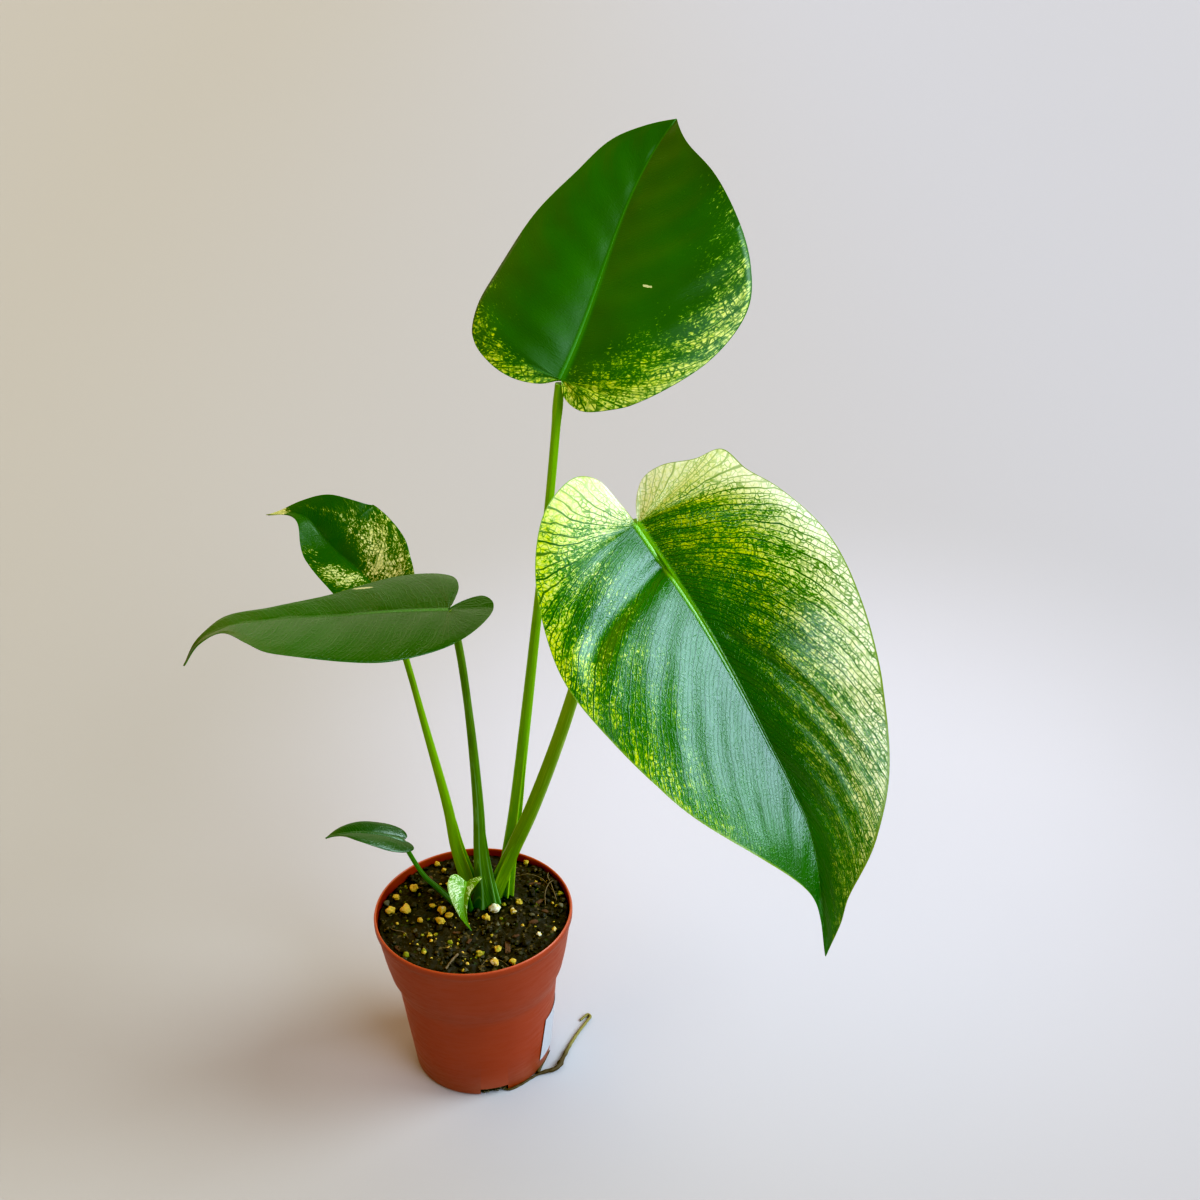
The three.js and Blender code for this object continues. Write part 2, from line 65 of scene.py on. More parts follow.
class Finish:
    """A material, or the sky, being made. Each call adds one node and gives back its output."""

    def __init__(self, name, kind="materials", shader="Principled BSDF", **constants):
        self.material = getattr(bpy.data, kind).new(name)
        self.material.use_nodes = True
        self.tree = self.material.node_tree
        self.shader = self.tree.nodes[shader]
        self.set(self.shader, constants)

    def set(self, node, inputs):
        for name, value in inputs.items():
            socket = node.inputs[name.replace("_", " ")] if isinstance(name, str) else node.inputs[name]
            if isinstance(value, bpy.types.NodeSocket):
                self.tree.links.new(value, socket)
            else:
                socket.default_value = value

    def add(self, kind, inputs, out=0, **settings):
        node = self.tree.nodes.new("ShaderNode" + kind)
        for name, value in settings.items():
            setattr(node, name, value)
        self.set(node, inputs)
        return node.outputs[out]

    def place(self):
        return self.add("TexCoord", {}, out="Object")

    def attribute(self, name):
        return self.add("Attribute", {}, out="Fac", attribute_name=name)

    def split(self, vector, part):
        return self.add("SeparateXYZ", {"Vector": vector}, out="XYZ".index(part))

    def join(self, x, y):
        return self.add("CombineXYZ", {"X": x, "Y": y})

    def calc(self, operation, a, b=0.0):
        return self.add("Math", {0: a, 1: b}, operation=operation)

    def plus(self, a, b):
        return self.calc("ADD", a, b)

    def minus(self, a, b):
        return self.calc("SUBTRACT", a, b)

    def times(self, a, b):
        return self.calc("MULTIPLY", a, b)

    def ramp(self, value, low, high, start=0.0, end=1.0):
        inputs = {"Value": value, "From_Min": low, "From_Max": high, "To_Min": start, "To_Max": end}
        return self.add("MapRange", inputs, interpolation_type="SMOOTHSTEP")

    def noise(self, vector, scale, detail=2.0, roughness=0.5):
        inputs = {"Vector": vector, "Scale": scale, "Detail": detail, "Roughness": roughness}
        return self.add("TexNoise", inputs)

    def cells(self, vector, scale, out="Distance", feature="F1"):
        return self.add("TexVoronoi", {"Vector": vector, "Scale": scale}, out=out, feature=feature)

    def mix(self, factor, a, b):
        a, b = [(*c, 1.0) if isinstance(c, tuple) else c for c in (a, b)]
        return self.add("Mix", {0: factor, 6: a, 7: b}, out=2, data_type="RGBA")

    def bump(self, height, distance, strength):
        inputs = {"Height": height, "Distance": distance * MM, "Strength": strength}
        return self.add("Bump", inputs, out="Normal")

    def done(self, **inputs):
        self.set(self.shader, inputs)
        return self.material


def finish_piece(piece, name, material, slot, *nodes, angle=40):
    """Names a piece, smooths it, gives it its material, hangs it on the root and hides the frame's parts it
    replaces.
    """
    piece.name = name
    piece.data.name = name
    piece.data.materials.clear()
    piece.data.materials.append(material)
    bpy.ops.object.select_all(action="DESELECT")
    bpy.context.view_layer.objects.active = piece
    piece.select_set(True)
    bpy.ops.object.shade_smooth_by_angle(angle=math.radians(angle))
    piece.select_set(False)
    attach(piece, "root")
    if nodes:
        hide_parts(*nodes)


def apply_modifier(piece, kind, **settings):
    """Adds a modifier and makes it part of the mesh."""
    modifier = piece.modifiers.new(kind.title(), kind)
    for name, value in settings.items():
        setattr(modifier, name, value)
    bpy.context.view_layer.objects.active = piece
    bpy.ops.object.modifier_apply(modifier=modifier.name)


def weld(gap, fill=False):
    """In edit mode: joins the points that lie within the gap of each other, closes open ends if
    asked, and turns all faces outwards. Leaves edit mode."""
    bpy.ops.mesh.select_all(action="SELECT")
    bpy.ops.mesh.remove_doubles(threshold=gap)
    if fill:
        bpy.ops.mesh.fill_holes(sides=0)
    bpy.ops.mesh.select_all(action="SELECT")
    bpy.ops.mesh.normals_make_consistent(inside=False)
    bpy.ops.object.mode_set(mode="OBJECT")


pot_height = 98 * MM
painted_rim_highlight = 1.4 * MM
pot_base_radius = 37 * MM
dusty_height = 20 * MM
spin_steps = 128
notch_count = 3
notch_size = (15 * MM, 18 * MM, 9 * MM)
first_notch = math.radians(12)
outer_wall = [
    (35.2, 0), (36.2, 0.4), (36.9, 1.4), (39.8, 27), (42.5, 52), (42.8, 54.5), (43.7, 57.5),
    (46.3, 64), (47, 67), (48.5, 74), (50.3, 85), (51.2, 91.5), (51.6, 93), (52.4, 94.2),
    (52.5, 96.6), (52.2, 97.7), (51.7, 98),
]
inner_wall = [
    (51.2, 97.7), (51, 97), (50.6, 93.5), (49.2, 86), (47.3, 74), (45.6, 66), (42.4, 57.5),
    (41.4, 53), (35.8, 2.4), (34.8, 1.2), (0, 1.2),
]
bpy.ops.mesh.primitive_plane_add(size=MM)
pot = bpy.context.object
bpy.ops.object.mode_set(mode="EDIT")
bpy.ops.mesh.merge(type="CENTER")
position = Vector((0, 0, 0))
for r, z in outer_wall + inner_wall:
    corner = Vector((r, 0, z)) * MM
    bpy.ops.mesh.extrude_region_move(TRANSFORM_OT_translate={"value": corner - position})
    position = corner
bpy.ops.mesh.select_all(action="SELECT")
bpy.ops.mesh.spin(steps=spin_steps, angle=2 * math.pi, center=(0, 0, 0), axis=(0, 0, 1))
weld(0.01 * MM)
for turn in range(notch_count):
    azimuth = first_notch + turn * 2 * math.pi / notch_count
    foot = Vector((math.sin(azimuth), -math.cos(azimuth), 0)) * pot_base_radius
    bpy.ops.mesh.primitive_cube_add(size=1, location=foot, rotation=(0, 0, azimuth), scale=notch_size)
    cutter = bpy.context.object
    apply_modifier(pot, "BOOLEAN", operation="DIFFERENCE", object=cutter, solver="EXACT")
    bpy.data.objects.remove(cutter)

plastic = Finish("pot_plastic", Roughness=0.42, Specular_IOR_Level=0.78)
where = plastic.place()
height = plastic.split(where, "Z")
mottle = plastic.noise(where, 45, 3)
colour = plastic.mix(mottle, (0.245, 0.026, 0.003), (0.28, 0.036, 0.006))
# Painted highlight: the plastic is paler in a narrow band along the thin rim.
colour = plastic.mix(plastic.ramp(height, pot_height - painted_rim_highlight, pot_height), colour, (0.4, 0.07, 0.02))
dust = plastic.times(plastic.ramp(height, dusty_height, 0, 0, 0.35), mottle)
colour = plastic.mix(dust, colour, (0.4, 0.2, 0.13))
scuffs = plastic.noise(plastic.add("Mapping", {"Vector": where, "Scale": (1, 1, 6)}), 90, 4, 0.7)
grain = plastic.noise(where, 2600, 1)
relief = plastic.plus(grain, plastic.times(scuffs, 0.45))
finish_piece(pot, "Pot", plastic.done(
    Base_Color=colour,
    Roughness=plastic.ramp(scuffs, 0.3, 0.75, 0.38, 0.55),
    Normal=plastic.bump(relief, 0.02, 0.5),
), "pot_plastic", "pot", angle=35)


# Label
# A blank white paper label stuck low on the pot's right-hand side. It is a thin patch that
# follows the wall and leans a little, with one corner just lifting.
label_from, label_to = math.radians(57), math.radians(100)
label_lean = math.radians(5)
label_bottom, label_top = 8.5 * MM, 36 * MM
label_paper = 0.25 * MM
glue_gap = 0.3 * MM
corner_lift = 1.1 * MM
corner_up, corner_across, corner_scale = 0.8, 0.75, 20
(foot_radius, foot_top), (wall_radius, wall_top) = outer_wall[2], outer_wall[4]
wall_slope = (wall_radius - foot_radius) / (wall_top - foot_top)
bpy.ops.mesh.primitive_grid_add(x_subdivisions=48, y_subdivisions=32, size=1)
label = bpy.context.object
for vertex in label.data.vertices:
    across, up = vertex.co.x + 0.5, vertex.co.y + 0.5
    azimuth = label_from + across * (label_to - label_from) + up * label_lean
    z = label_bottom + up * (label_top - label_bottom)
    lifted = corner_lift * max(0, up - corner_up) * max(0, across - corner_across) * corner_scale
    radius = foot_radius * MM + wall_slope * (z - foot_top * MM) + glue_gap + lifted
    vertex.co = (radius * math.sin(azimuth), -radius * math.cos(azimuth), z)
apply_modifier(label, "SOLIDIFY", thickness=label_paper, offset=1)
paper = Finish("label_paper", Roughness=0.5)
fibres = paper.noise(paper.place(), 900, 3, 0.7)
finish_piece(label, "Label", paper.done(
    Base_Color=paper.mix(fibres, (0.38, 0.38, 0.385), (0.44, 0.44, 0.445)),
    Normal=paper.bump(fibres, 0.02, 0.4),
), "label_paper", "label")


# Soil
# Dark moist peat that fills the pot to just under its rim. Its top is crumbly, and a crust of
# loose crumbs lies on it. A few more show in the drain notches, paler olive: partly their own
# colour and partly painted light, so that they show in the shade there.
soil_level = 94.3 * MM
soil_radius = 50.2 * MM
soil_grid = 150
mound_width, mound_depth, lump_size = 9, 11, 9
crumb_size, fine_crumb_size = 2.6, 1.3
crumb_count = 620
notch_crumbs = 72


def read_points(piece):
    """The mesh's vertices as an array of x, y, z."""
    points = np.empty(len(piece.data.vertices) * 3)
    piece.data.vertices.foreach_get("co", points)
    return points.reshape(-1, 3)


def note(piece, name, values):
    """Keeps a value for each of the mesh's vertices, for the material to read."""
    piece.data.attributes.new(name, "FLOAT", "POINT").data.foreach_set("value", values)


def write_points(piece, points):
    """Moves the mesh's vertices to these places."""
    piece.data.vertices.foreach_set("co", np.asarray(points, float).ravel())
    piece.data.update()


def soil_height(x, y):
    """The height of the soil's surface, from broad mounds down to crumbs."""
    mound = 0.7 * math.sin(x / mound_width / MM) * math.cos(y / mound_depth / MM) + 0.015 * x / MM
    spot = Vector((x, y, 0)) / MM
    lumps = 1.1 * noise.fractal(spot / lump_size, 0.8, 2.1, 3)
    near, fine = [noise.voronoi(spot / size)[0][0] for size in (crumb_size, fine_crumb_size)]
    return soil_level + (mound + lumps + (0.9 * (0.5 - near) + 0.5 * (0.5 - fine))) * MM


bpy.ops.mesh.primitive_grid_add(x_subdivisions=soil_grid, y_subdivisions=soil_grid, size=2)
soil = bpy.context.object
for vertex in soil.data.vertices:
    x, y = vertex.co.x, vertex.co.y
    disc = Vector((x * math.sqrt(1 - y * y / 2), y * math.sqrt(1 - x * x / 2))) * soil_radius
    vertex.co = (disc.x, disc.y, soil_height(disc.x, disc.y))
bpy.ops.object.mode_set(mode="EDIT")
bpy.ops.mesh.select_all(action="SELECT")
bpy.ops.mesh.region_to_loop()
soil_side = [(49.4, 88), (48, 79), (45, 66), (41.6, 56), (41, 53), (35.7, 1.6)]
for r, z in soil_side:
    bpy.ops.mesh.extrude_region_move()
    bpy.ops.object.mode_set(mode="OBJECT")
    for vertex in soil.data.vertices:
        if vertex.select:
            flat = Vector((vertex.co.x, vertex.co.y)).normalized() * r * MM
            vertex.co = (flat.x, flat.y, z * MM)
    bpy.ops.object.mode_set(mode="EDIT")
bpy.ops.mesh.edge_face_add()
bpy.ops.mesh.select_all(action="SELECT")
bpy.ops.mesh.normals_make_consistent(inside=False)
bpy.ops.object.mode_set(mode="OBJECT")

peat = Finish("peat", Roughness=0.85)
where = peat.place()
specks = peat.cells(where, 700, out="Color")
speck = peat.split(specks, "X")
fine = peat.noise(where, 420, 4, 0.7)
broad = peat.noise(where, 60, 3)
colour = peat.mix(fine, (0.005, 0.0035, 0.0025), (0.032, 0.021, 0.013))
colour = peat.mix(peat.ramp(broad, 0.5, 0.75, 0, 0.6), colour, (0.045, 0.026, 0.014))
colour = peat.mix(peat.ramp(speck, 0.93, 0.96, 0, 0.8), colour, (0.12, 0.085, 0.03))
colour = peat.mix(peat.ramp(speck, 0.05, 0.02, 0, 0.6), colour, (0.035, 0.06, 0.01))
# Crumbs marked as stained are paler olive. In the drain notches this paleness is partly painted light, so
# the crumbs show in the shade there.
colour = peat.mix(peat.ramp(peat.attribute("stain"), 0.2, 1, 0, 0.8), colour, (0.17, 0.15, 0.09))
peat_material = peat.done(
    Base_Color=colour,
    Roughness=peat.ramp(fine, 0.3, 0.7, 0.6, 0.95),
    Normal=peat.bump(fine, 0.5, 0.8),
)
finish_piece(soil, "Soil", peat_material, "soil", "soil", angle=180)

dice = random.Random(7)


def join_pieces(pieces):
    """Joins the pieces into the first of them, and gives it back."""
    bpy.ops.object.select_all(action="DESELECT")
    for piece in pieces:
        piece.select_set(True)
    bpy.context.view_layer.objects.active = pieces[0]
    bpy.ops.object.join()
    return bpy.context.object


def make_lump(rough, facets, seed):
    """One irregular grain of 1 mm with a pitted surface, to be copied."""
    bpy.ops.mesh.primitive_ico_sphere_add(subdivisions=facets, radius=MM / 2)
    lump = bpy.context.object
    for vertex in lump.data.vertices:
        swell = noise.noise(vertex.co / MM * 2.3 + Vector((seed, 0, 0)))
        pit = noise.noise(vertex.co / MM * 7 + Vector((0, seed, 0)))
        vertex.co *= 1 + rough * swell + 0.25 * rough * pit
    return lump


def strew(lumps, places):
    """Copies of the lumps joined as one piece: places are (x, y, z, size, flatness, stain)."""
    copies = []
    for number, (x, y, z, size, flatness, stain) in enumerate(places):
        copy = lumps[number % len(lumps)].copy()
        copy.data = copy.data.copy()
        note(copy, "stain", np.full(len(copy.data.vertices), stain))
        bpy.context.collection.objects.link(copy)
        spin = Matrix.Rotation(dice.uniform(0, 6.3), 4, "Z")
        spin = spin @ Matrix.Rotation(dice.uniform(-0.4, 0.4), 4, "X")
        stretch = Matrix.Diagonal((size * dice.uniform(0.8, 1.3), size, size * flatness, 1))
        turn = Matrix.Rotation(dice.uniform(0, 6.3), 4, "Y") if flatness > 0.8 else Matrix.Identity(4)
        copy.data.transform(Matrix.Translation((x, y, z)) @ spin @ stretch @ turn)
        copies.append(copy)
    for lump in lumps:
        bpy.data.objects.remove(lump)
    return join_pieces(copies)


crumb_places = []
while len(crumb_places) < crumb_count:
    x, y = [dice.uniform(-soil_radius, soil_radius) for axis in "xy"]
    if math.hypot(x, y) < soil_radius - 1.5 * MM:
        size = 0.9 + 2.6 * dice.random() ** 3
        z = soil_height(x, y) + 0.2 * size * MM
        crumb_places.append((x, y, z, size, dice.uniform(0.5, 0.9), dice.random() ** 4))
# Crumbs in the drain notches are strongly stained: paler olive, partly painted light against the shade in
# the notches.
for number in range(notch_crumbs):
    turn = first_notch + 2 * math.pi / notch_count * (number % notch_count) + dice.uniform(-0.17, 0.17)
    reach = dice.uniform(33.5, 35.2) * MM
    x, y, z = reach * math.sin(turn), -reach * math.cos(turn), dice.uniform(1, 3.6) * MM
    crumb_places.append((x, y, z, dice.uniform(1.4, 2.4), 0.9, dice.uniform(0.5, 1)))
crumbs = strew([make_lump(0.7, 2, seed) for seed in range(6)], crumb_places)
finish_piece(crumbs, "Crumbs", peat_material, "soil", angle=60)


# Perlite
# Light volcanic grains mixed in the peat, a few white, most stained ochre and olive by water. They
# are rounded lumps with pits. Each is given by x, y, its size and how stained it is.
small_grain_count = 70
perlite_places = [
    (11, 1, 6.2, 0.1), (7, -5, 4.4, 0.8), (21, -1, 3.8, 0.6), (24, 7, 3.6, 1.3), (16, 5, 2.4, 1.7),
    (-36, 3, 5.6, 0.8), (-44, 3, 4.6, 1.1), (-42, 14, 3.6, 1), (-33, 21, 4.4, 0.9), (-38, 25, 2, 1.8),
    (-22, 42, 3.2, 1.1), (-18, 36, 2.8, 1), (-22, 7, 3.2, 1), (-17, 3, 4.4, 0.9), (-13, -1, 3.6, 1.1),
    (-17, -6, 4.6, 1.1), (-28, -5, 3.4, 1.1), (-22, -17, 3.2, 1.4), (-26, -16, 2, 1.7),
    (-19, -16, 2, 1.7), (-35, -16, 2, 1.9), (-33, -32, 3.4, 1.7), (-28, -24, 1.7, 1), (-24, -30, 3, 1.6),
    (-11, -23, 2.8, 2), (-4, -32, 1.6, 0.6), (5, -33, 3.6, 1.7), (14, -30, 3.6, 1.3), (13, -41, 4, 0.4),
    (22, -40, 3.8, 1.3), (35, -20, 2.5, 0.2), (43, -16, 2.4, 0.9), (46, 14, 2.8, 1.9),
    (27, 41, 3.2, 1.3), (-3, -45, 2.2, 1.6), (-1, -41, 1.8, 0.6),
]
perlite_sizes = [
    (x * MM, y * MM, soil_height(x * MM, y * MM) + 0.3 * size * MM, size, 0.85, stain)
    for x, y, size, stain in perlite_places
]
for grain in range(small_grain_count):
    azimuth, reach = dice.uniform(0, 6.3), 46 * MM * math.sqrt(dice.random())
    x, y = reach * math.cos(azimuth), reach * math.sin(azimuth)
    size, stain = dice.uniform(0.7, 1.8), dice.uniform(0.7, 2.2)
    perlite_sizes.append((x, y, soil_height(x, y) + 0.1 * MM, size, 0.85, stain))
perlite = strew([make_lump(0.5, 3, seed) for seed in range(10, 16)], perlite_sizes)
chalk = Finish("perlite", Roughness=0.85, Subsurface_Weight=0.1, Subsurface_Scale=0.002)
where = chalk.place()
cloud = chalk.minus(chalk.noise(where, 450, 3), 0.5)
stained = chalk.plus(chalk.attribute("stain"), chalk.times(cloud, 2.6))
pits = chalk.cells(where, 1500)
colour = chalk.mix(chalk.ramp(stained, 0, 0.7), (0.7, 0.68, 0.5), (0.55, 0.38, 0.06))
colour = chalk.mix(chalk.ramp(stained, 1.1, 2), colour, (0.17, 0.2, 0.012))
colour = chalk.mix(chalk.ramp(pits, 0.35, 0.1, 0, 0.5), colour, (0.25, 0.16, 0.02))
finish_piece(perlite, "Perlite", chalk.done(
    Base_Color=colour,
    Normal=chalk.bump(pits, 0.3, 0.7),
), "soil", angle=60)


# Bark and twigs
# Chips of brown pine bark and thin dry twigs that lie on the soil. A chip is given by x, y, its
# length, its width and how it is turned. It is a box, bowed and worn thin at its ends.
chip_flatness, chip_bow = 0.45, 0.25
bark_places = [
    (19, -28, 9, 2.6, 93), (32, 22, 6, 2.2, 5), (-38, -25, 5, 2, 130), (-8, -15, 4, 2, 170),
    (32, -9, 4.5, 2.4, 10), (-30, 22, 3, 1.4, 20), (35, 8, 5, 2, 40), (23, -20, 3.5, 1.6, 20),
    (38, 0, 4, 2, 150), (-1, -23, 3.5, 1.6, 60), (-25, 32, 4, 1.8, 110), (14, 34, 6, 2, 60),
]
chips = []
for x, y, length, width, turn in bark_places:
    bpy.ops.mesh.primitive_cube_add(size=1)
    chip = bpy.context.object
    bpy.ops.object.mode_set(mode="EDIT")
    bpy.ops.mesh.subdivide(number_cuts=6)
    bpy.ops.object.mode_set(mode="OBJECT")
    for vertex in chip.data.vertices:
        end = 1 - 0.5 * (2 * abs(vertex.co.x)) ** 3
        rough = 1 + 0.5 * noise.noise(vertex.co * 4 + Vector((x, y, 0)))
        bow = chip_bow * vertex.co.x ** 2
        vertex.co = (
            vertex.co.x * length * MM * rough,
            vertex.co.y * width * MM * end * rough,
            (vertex.co.z * width * chip_flatness * end * rough + bow) * MM,
        )
    lie = Matrix.Translation((x * MM, y * MM, soil_height(x * MM, y * MM) + 0.12 * MM * width))
    chip.data.transform(lie @ Matrix.Rotation(math.radians(turn), 4, "Z"))
    chips.append(chip)
bark = join_pieces(chips)
wood = Finish("bark", Roughness=0.8)
where = wood.place()
flake = wood.noise(where, 300, 4, 0.7)
patch = wood.noise(where, 50, 1)
colour = wood.mix(patch, (0.075, 0.035, 0.022), (0.15, 0.075, 0.04))
colour = wood.mix(wood.ramp(flake, 0.5, 0.35), colour, (0.025, 0.012, 0.008))
finish_piece(bark, "Bark", wood.done(
    Base_Color=colour,
    Normal=wood.bump(flake, 0.4, 0.8),
), "soil", angle=50)


def smooth_path(points, count=400):
    """A smooth line through the points, and how far along it each of its own points lies."""
    points = [np.array(p, float) for p in points]
    points = [2 * points[0] - points[1], *points, 2 * points[-1] - points[-2]]
    line = []
    spans = len(points) - 3
    for step in range(count + 1):
        span = min(int(step * spans / count), spans - 1)
        weight = step * spans / count - span
        a, b, c, d = points[span:span + 4]
        ab, bc, cd = [max(np.linalg.norm(q - p) ** 0.5, 1e-9) for p, q in ((a, b), (b, c), (c, d))]
        leave = ((b - a) / ab - (c - a) / (ab + bc) + (c - b) / bc) * bc
        arrive = ((c - b) / bc - (d - b) / (bc + cd) + (d - c) / cd) * bc
        line.append(
            b + leave * weight + (3 * (c - b) - 2 * leave - arrive) * weight ** 2
            + (2 * (b - c) + leave + arrive) * weight ** 3
        )
    return measured(np.array(line))


def measured(line):
    """The line, and how far along it each of its points lies."""
    steps = np.linalg.norm(np.diff(line, axis=0), axis=1)
    return line, np.concatenate([[0], np.cumsum(steps)])


def follow(line, lengths, at):
    """The points of the line at these distances along it, and the line's directions there."""
    slope = np.gradient(line, lengths, axis=0)
    spots = np.stack([np.interp(at, lengths, line[:, k]) for k in range(line.shape[1])], axis=-1)
    ways = np.stack([np.interp(at, lengths, slope[:, k]) for k in range(line.shape[1])], axis=-1)
    return spots, ways / np.linalg.norm(ways, axis=-1, keepdims=True)


def tube(path, opens, steps, sides, reach):
    """A closed tube along a path. reach(along, angle) is its radius, where angle 0 looks the way
    that it opens. All lengths are in millimetres."""
    line, lengths = smooth_path(path)
    at = np.linspace(0, lengths[-1], steps + 1)
    centres, ways = follow(line, lengths, at)
    bpy.ops.mesh.primitive_grid_add(x_subdivisions=steps, y_subdivisions=sides, size=1)
    piece = bpy.context.object
    grid = read_points(piece) + 0.5
    row = np.rint(grid[:, 0] * steps).astype(int)
    angle = grid[:, 1] * 2 * math.pi
    front = np.array(opens, float)
    fronts = []
    for way in ways:
        front = front - way * front.dot(way)
        front = front / np.linalg.norm(front)
        fronts.append(front)
    fronts = np.array(fronts)
    besides = np.cross(ways, fronts)
    radius = reach(at[row], angle)[:, None]
    points = centres[row] + radius * (
        np.cos(angle)[:, None] * fronts[row] + np.sin(angle)[:, None] * besides[row]
    )
    write_points(piece, points * MM)
    turned = (angle + math.pi) % (2 * math.pi) - math.pi
    for name, values in (("along", at[row]), ("round", np.sin(angle) * radius[:, 0]), ("turned", turned)):
        note(piece, name, values)
    bpy.ops.object.mode_set(mode="EDIT")
    weld(0.005 * MM, fill=True)
    return piece


twigs = []
for path, thickness in (
    ([(-12, -44, 0.5), (-10.3, -41, 1.2), (-8.5, -38, 1.8), (-6, -35, 2.6)], 0.7),
    ([(40, 33, 1), (39, 27, 2.6), (41, 20, 2.4), (44, 8, 1)], 0.35),
    ([(45, 24, 1), (41, 22, 2.6), (38, 14, 2.2), (38, 4, 1)], 0.3),
    ([(-44, -10, 0.5), (-40, -14, 1.6), (-36, -15, 1.4), (-33, -19, 0.5)], 0.25),
    ([(6, -42, 0.5), (10, -38, 1.8), (16, -40, 1.6), (20, -43, 0.5)], 0.2),
    ([(22, 30, 0.5), (28, 29, 2.4), (35, 26, 2.2), (42, 16, 1)], 0.3),
):
    bumpy = lambda along, angle, r=thickness: r * (1 + 0.15 * np.sin(along * 2.1) + 0.1 * np.cos(2 * angle))
    lying = [(x, y, soil_level / MM + z) for x, y, z in path]
    twigs.append(tube(lying, (0, 0, 1), 40, 8, bumpy))
straw = Finish("twig", Roughness=0.75)
weathered = straw.noise(straw.place(), 500, 3)
finish_piece(join_pieces(twigs), "Twigs", straw.done(
    Base_Color=straw.mix(weathered, (0.09, 0.06, 0.03), (0.22, 0.16, 0.09)),
    Normal=straw.bump(weathered, 0.1, 0.6),
), "soil", angle=60)


# Root
# One wandering root has come out of the front drain notch. It lies round the bottom of the pot,
# thick at first and then thin, and ends in a hook. Where it hugs the pot its skin is painted dark
# brown as shade; further out it is pale.
root_path = [
    (11.5, -32.5, 1), (15.4, -33.8, 0.8), (20.9, -30.9, 0.8), (26.3, -26.6, 0.9), (30.1, -23.9, 1.2),
    (34.5, -21.9, 1.4), (38.3, -20.9, 1.5), (41.5, -19, 1.8), (43.7, -13.2, 1.3), (45.9, -7, 1.1),
    (48.1, -1.5, 1), (52.5, 7.9, 1), (58.2, 18.1, 0.9), (59.5, 20.8, 0.9), (58.3, 22.6, 0.9),
    (56, 20.7, 0.7), (53.9, 18.3, 0.6),
]
root_thickness = [
    (0, 0.7), (5, 0.6), (22, 0.6), (26, 1), (32, 1.15), (40, 1.15), (46, 1), (58, 0.85), (80, 0.7),
    (90, 0.6), (98, 0.3),
]
rootlet_path = [(30.5, -22.5, 1.2), (31.8, -18.4, 1.4), (34.3, -12.8, 1.6), (37, -6.3, 1.9)]


def root_reach(along, angle):
    """The root's radius: thin under the wall, thick beside it, with a node, then tapering."""
    taper = np.interp(along, *zip(*root_thickness))
    node = 0.55 * np.exp(-((along - 38) / 2) ** 2) + 0.25 * np.exp(-((along - 47) / 1.5) ** 2)
    knots = 0.06 * np.sin(along * 1.7) + 0.05 * np.sin(3 * angle + along)
    return taper + node + knots


root = join_pieces([
    tube(root_path, (0, 0, 1), 260, 16, root_reach),
    tube(rootlet_path, (0, 0, 1), 40, 10, lambda along, angle: 1.15 - 0.055 * along),
])
for vertex in root.data.vertices:
    vertex.co.z = max(vertex.co.z, 0.05 * MM)
cork = Finish("root_skin", Roughness=0.7)
where = cork.place()
skin = cork.noise(where, 260, 4, 0.65)
along = cork.attribute("along")
# Painted shade: the skin is dark brown where the root hugs the foot of the pot, and turns pale from 40 mm
# along.
colour = cork.mix(skin, (0.035, 0.02, 0.006), (0.1, 0.065, 0.02))
colour = cork.mix(cork.ramp(along, 40, 60), colour, cork.mix(skin, (0.16, 0.13, 0.03), (0.26, 0.23, 0.07)))
colour = cork.mix(cork.ramp(along, 93, 98, 0, 0.8), colour, (0.04, 0.02, 0.01))
finish_piece(root, "Root", cork.done(
    Base_Color=colour,
    Normal=cork.bump(skin, 0.2, 0.8),
), "root", "root")


# Buried stem
# The short stem at soil level that all the stalks grow from. It is a green-brown ringed stub, a
# rounded lump whose rings are leaf scars.
crown_centre = Vector((6, 14, 85)) * MM
crown_size = Vector((12.5, 10.5, 13)) * MM
bpy.ops.mesh.primitive_uv_sphere_add(segments=64, ring_count=48, radius=1)
crown = bpy.context.object
for vertex in crown.data.vertices:
    ring = 1 + 0.03 * math.sin(vertex.co.z * 16) + 0.06 * noise.noise(vertex.co * 2.5)
    vertex.co = crown_centre + Vector([c * s * ring for c, s in zip(vertex.co, crown_size)])
stub = Finish("crown_skin", Roughness=0.6)
scar = stub.noise(stub.place(), 160, 4)
finish_piece(crown, "Buried_stem", stub.done(
    Base_Color=stub.mix(scar, (0.05, 0.075, 0.012), (0.12, 0.15, 0.03)),
    Normal=stub.bump(scar, 0.3, 0.6),
), "stalk_green", "crown")


# Leaf stalks
# Firm green stalks, round with a shallow groove. Each has a thin sheath low down, whose two
# edges stand out on the side it opens to, and a swollen knee under its leaf. They are tubes.
ring_spacing = 1.1
stalk_sides = 72
sheath_edge = 0.24
sheath_edge_width = 0.16


def stalk_reach(length, radii, sheath, wing, flare):
    """The stalk's radius all round, as a function of how far up and where round it."""
    low, high = radii

    def reach(along, angle):
        t = along / length
        radius = low + (high - low) * np.minimum(1, 1.4 * t) ** 0.7
        swollen = flare * np.exp(-np.maximum(along - 14, 0) / 12)
        knee = 0.16 * high * np.exp(-((t - 0.965) / 0.022) ** 2)
        up = along / sheath
        width = wing * np.clip(1 - up, 0, 1) ** 0.75
        turned = (angle + math.pi) % (2 * math.pi) - math.pi
        left, right = [
            np.exp(-((turned - side * sheath_edge) / sheath_edge_width) ** 2) for side in (1, -1)
        ]
        edges = width * (left + 0.9 * right)
        body = width * 0.45 * np.maximum(0, np.cos(turned)) ** 6
        groove = 0.12 * radius * np.exp(-(turned / 0.4) ** 2) * np.clip(up - 0.9, 0, 1)
        fluting = 0.012 * radius * np.cos(9 * turned)
        return radius + swollen + knee + edges + body - groove + fluting

    return reach


